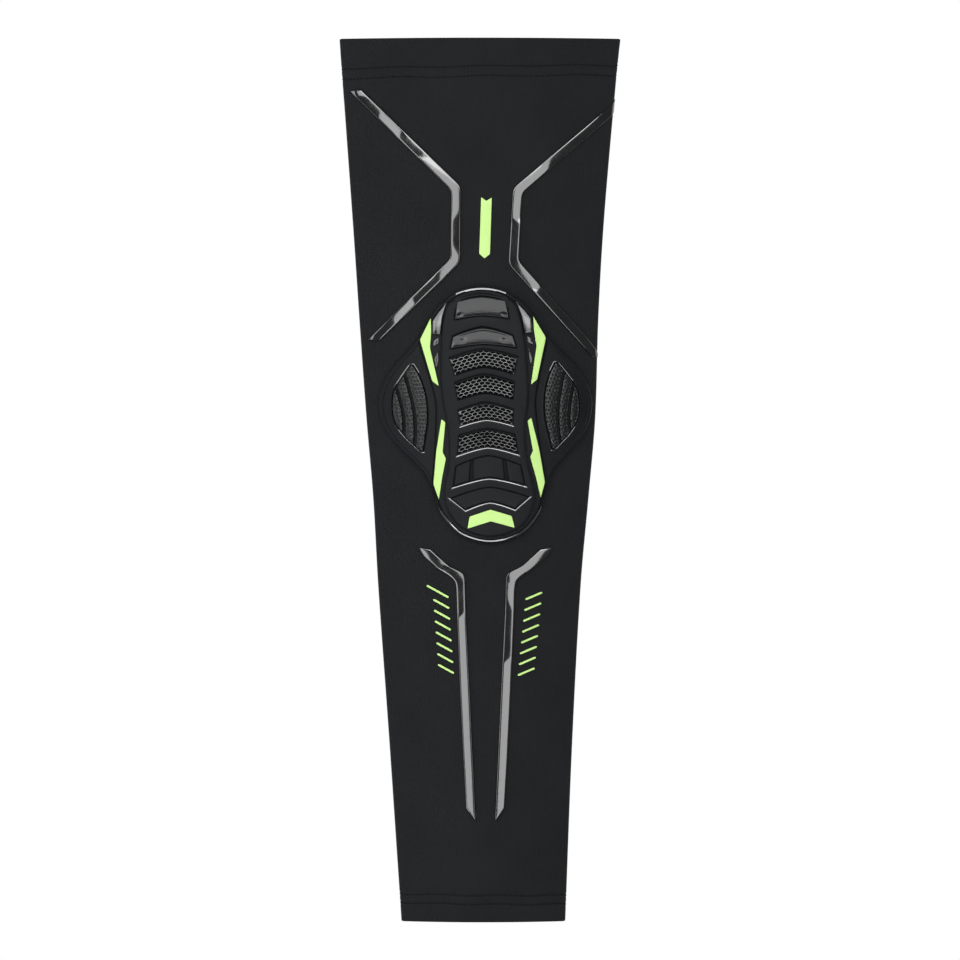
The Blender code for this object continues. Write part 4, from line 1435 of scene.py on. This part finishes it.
for side, sign in (("right", 1), ("left", -1)):
    edges = strip_edges(upper_rungs(sign), 1)
    film_strip(f"bent_film_{side}", edges, UPPER_ROLLS[side], UPPER_PLACE, f"upper_strip_{side}")
PRINT_TOP = 0.0008
PRINT_ROUND = 0.0001
ARROW_CORNER = 0.0003
ARROW_HALF = 0.0024
ARROW_END = 0.0138
ARROW_NOTCH = 0.0016
ARROW_POINT = 0.0020
ARROW_DROP = 0.0043
right = (
    (0, ARROW_END - ARROW_NOTCH),
    (ARROW_HALF, ARROW_END),
    (ARROW_HALF, ARROW_POINT - ARROW_END),
    (0, -ARROW_END),
)
outline = eased([(x, y - ARROW_DROP) for x, y in whole(right)], ARROW_CORNER)
shape = plate(outline, STRIP_BOTTOM, PRINT_TOP, PRINT_ROUND)
finished("printed_arrow", laid(shape, *UPPER_PLACE), lime, ["arrow"])

# The lower strips: two long bands of the same gloss film from the pad to the wrist, each
# with a ladder of eight lime dashes printed beside it.
LOWER_STRIP_REACH = 0.0295
LOWER_STRIP_LENGTH = 0.1234
LOWER_PLACE = (0.0024, -0.0923)
LOWER_RUNGS = (
    ((0.834, 0.987), (1.000, 1.000)),
    ((0.740, 0.945), (0.949, 0.942)),
    ((0.640, 0.903), (0.800, 0.885)),
    ((0.556, 0.864), (0.708, 0.840)),
    ((0.440, 0.838), (0.576, 0.806)),
    ((0.356, 0.820), (0.492, 0.775)),
    ((0.312, 0.799), (0.444, 0.739)),
    ((0.298, 0.541), (0.431, 0.541)),
    ((0.237, -0.045), (0.383, -0.045)),
    ((0.188, -0.559), (0.331, -0.559)),
    ((0.147, -1.000), (0.288, -0.909)),
)
DASHES = 8
DASH_LENGTH = 0.0082
DASH_WIDTH = 0.0009
DASH_PITCH = 0.0049

# The ladders: side, sign, how far out and up the middle of the top dash lies, how much
# further in each dash is than the last, the slant in degrees, and how much further out the
# top dash runs than the others
DASH_LADDERS = (
    ("right", 1, 0.0218, 0.0399, 0.00049, 23, 0.0),
    ("left", -1, 0.0201, 0.0412, 0.00035, 29, 0.0030),
)

LOWER_ROLLS = {
    "left": (
        (0, 0.30), (0.05, 0.22), (0.08, 0.30), (0.09, 0.20), (0.1, -0.30), (0.14, -0.35),
        (0.285, -0.35), (0.305, 0.00), (0.7, 0.00), (1, -0.05),
    ),
    "right": (
        (0, 0.45), (0.05, 0.35), (0.1, 0.10), (0.16, 0.00), (0.17, 0.30), (0.19, 0.10),
        (0.24, 0.10), (0.27, 0.30), (0.445, 0.30), (0.46, -0.05), (0.7, -0.10), (1, -0.15),
    ),
}
scale = (LOWER_STRIP_REACH, LOWER_STRIP_LENGTH / 2)
for side, sign, out, up, drift, slant, extra in DASH_LADDERS:
    edges = strip_edges([sized(rung, scale) for rung in LOWER_RUNGS], sign)
    film_strip(f"long_film_{side}", edges, LOWER_ROLLS[side], LOWER_PLACE, f"lower_strip_{side}")
    radius = DASH_WIDTH / 2
    for number in range(DASHES):
        bar = []
        for end in (1, -1):
            reach = (DASH_LENGTH - DASH_WIDTH) / 2
            if end == sign and number == 0:
                reach += extra
            for step in range(7):
                angle = math.pi * (step / 6 - 0.5)
                out_by = reach + radius * math.cos(angle)
                bar.append((end * out_by, end * radius * math.sin(angle)))
        across = LOWER_PLACE[0] + sign * (out - drift * number)
        along = LOWER_PLACE[1] + up - DASH_PITCH * number
        shape = plate(bar, STRIP_BOTTOM, PRINT_TOP, PRINT_ROUND)
        finished(
            f"printed_dash_{side}_{number + 1}",
            laid(shape, across, along, sign * math.radians(slant)),
            lime,
            [f"dash_{side}_{number + 1}"],
        )

# The studio: a plain white table, six soft boxes round the sleeve that leave the zone
# over it dark, and a long lens looking straight down.
white, tree, shader = new_material("white table", {})
TABLE_DROP = 0.0004
glow = node(tree, "ShaderNodeEmission", {"Color": hex_colour("FFFFFF"), "Strength": 1.0})
tree.links.new(glow.outputs[0], tree.nodes["Material Output"].inputs["Surface"])
shape = bmesh.new()
bmesh.ops.create_grid(shape, x_segments=1, y_segments=1, size=3.0)
bmesh.ops.translate(shape, verts=shape.verts, vec=(0, 0, -TABLE_DROP))
table = put_in("table", shape, white)

# The lamps: name, place, width, length and radiance; each faces the sleeve's middle
SOFTBOXES = (
    ("left strip box", (-0.205, 0.0, 1.12), 0.235, 1.0, 3.0),
    ("left softbox", (-0.62, 0.0, 1.02), 0.25, 1.0, 3.4),
    ("low left softbox", (-1.08, 0.1, 0.54), 0.40, 1.1, 2.4),
    ("right softbox", (0.40, 0.0, 1.08), 0.34, 1.0, 3.0),
    ("far softbox", (0.0, 0.56, 1.10), 1.40, 0.56, 4.0),
    ("near softbox", (-0.15, -0.62, 1.08), 1.3, 0.36, 4.0),
)
for name, place, wide, long, radiance in SOFTBOXES:
    lamp = bpy.data.lights.new(name, "AREA")
    lamp.shape = "RECTANGLE"
    lamp.size, lamp.size_y = wide, long
    lamp.energy = radiance * math.pi * wide * long
    holder = bpy.data.objects.new(name, lamp)
    holder.location = place
    tilt_y = math.atan2(place[0], place[2])
    tilt_x = -math.atan2(place[1], place[2])
    holder.rotation_euler = (tilt_x, tilt_y, 0)
    bpy.context.scene.collection.objects.link(holder)

world = bpy.data.worlds.new("studio")
world.use_nodes = True
world.node_tree.nodes["Background"].inputs["Color"].default_value = hex_colour("FFFFFF")
world.node_tree.nodes["Background"].inputs["Strength"].default_value = 0.12
bpy.context.scene.world = world
bpy.context.scene.view_settings.view_transform = "Standard"

VIEW_WIDTH = 0.4349
VIEW_LEVEL = 0.006  # the height at which the view is this wide
LENS = 300
SENSOR = 36
lens = bpy.data.cameras.new("camera")
lens.lens = LENS
lens.sensor_width = SENSOR
camera = bpy.data.objects.new("camera", lens)
camera.location = (0, 0, VIEW_LEVEL + VIEW_WIDTH * LENS / SENSOR)
bpy.context.scene.collection.objects.link(camera)
bpy.context.scene.camera = camera
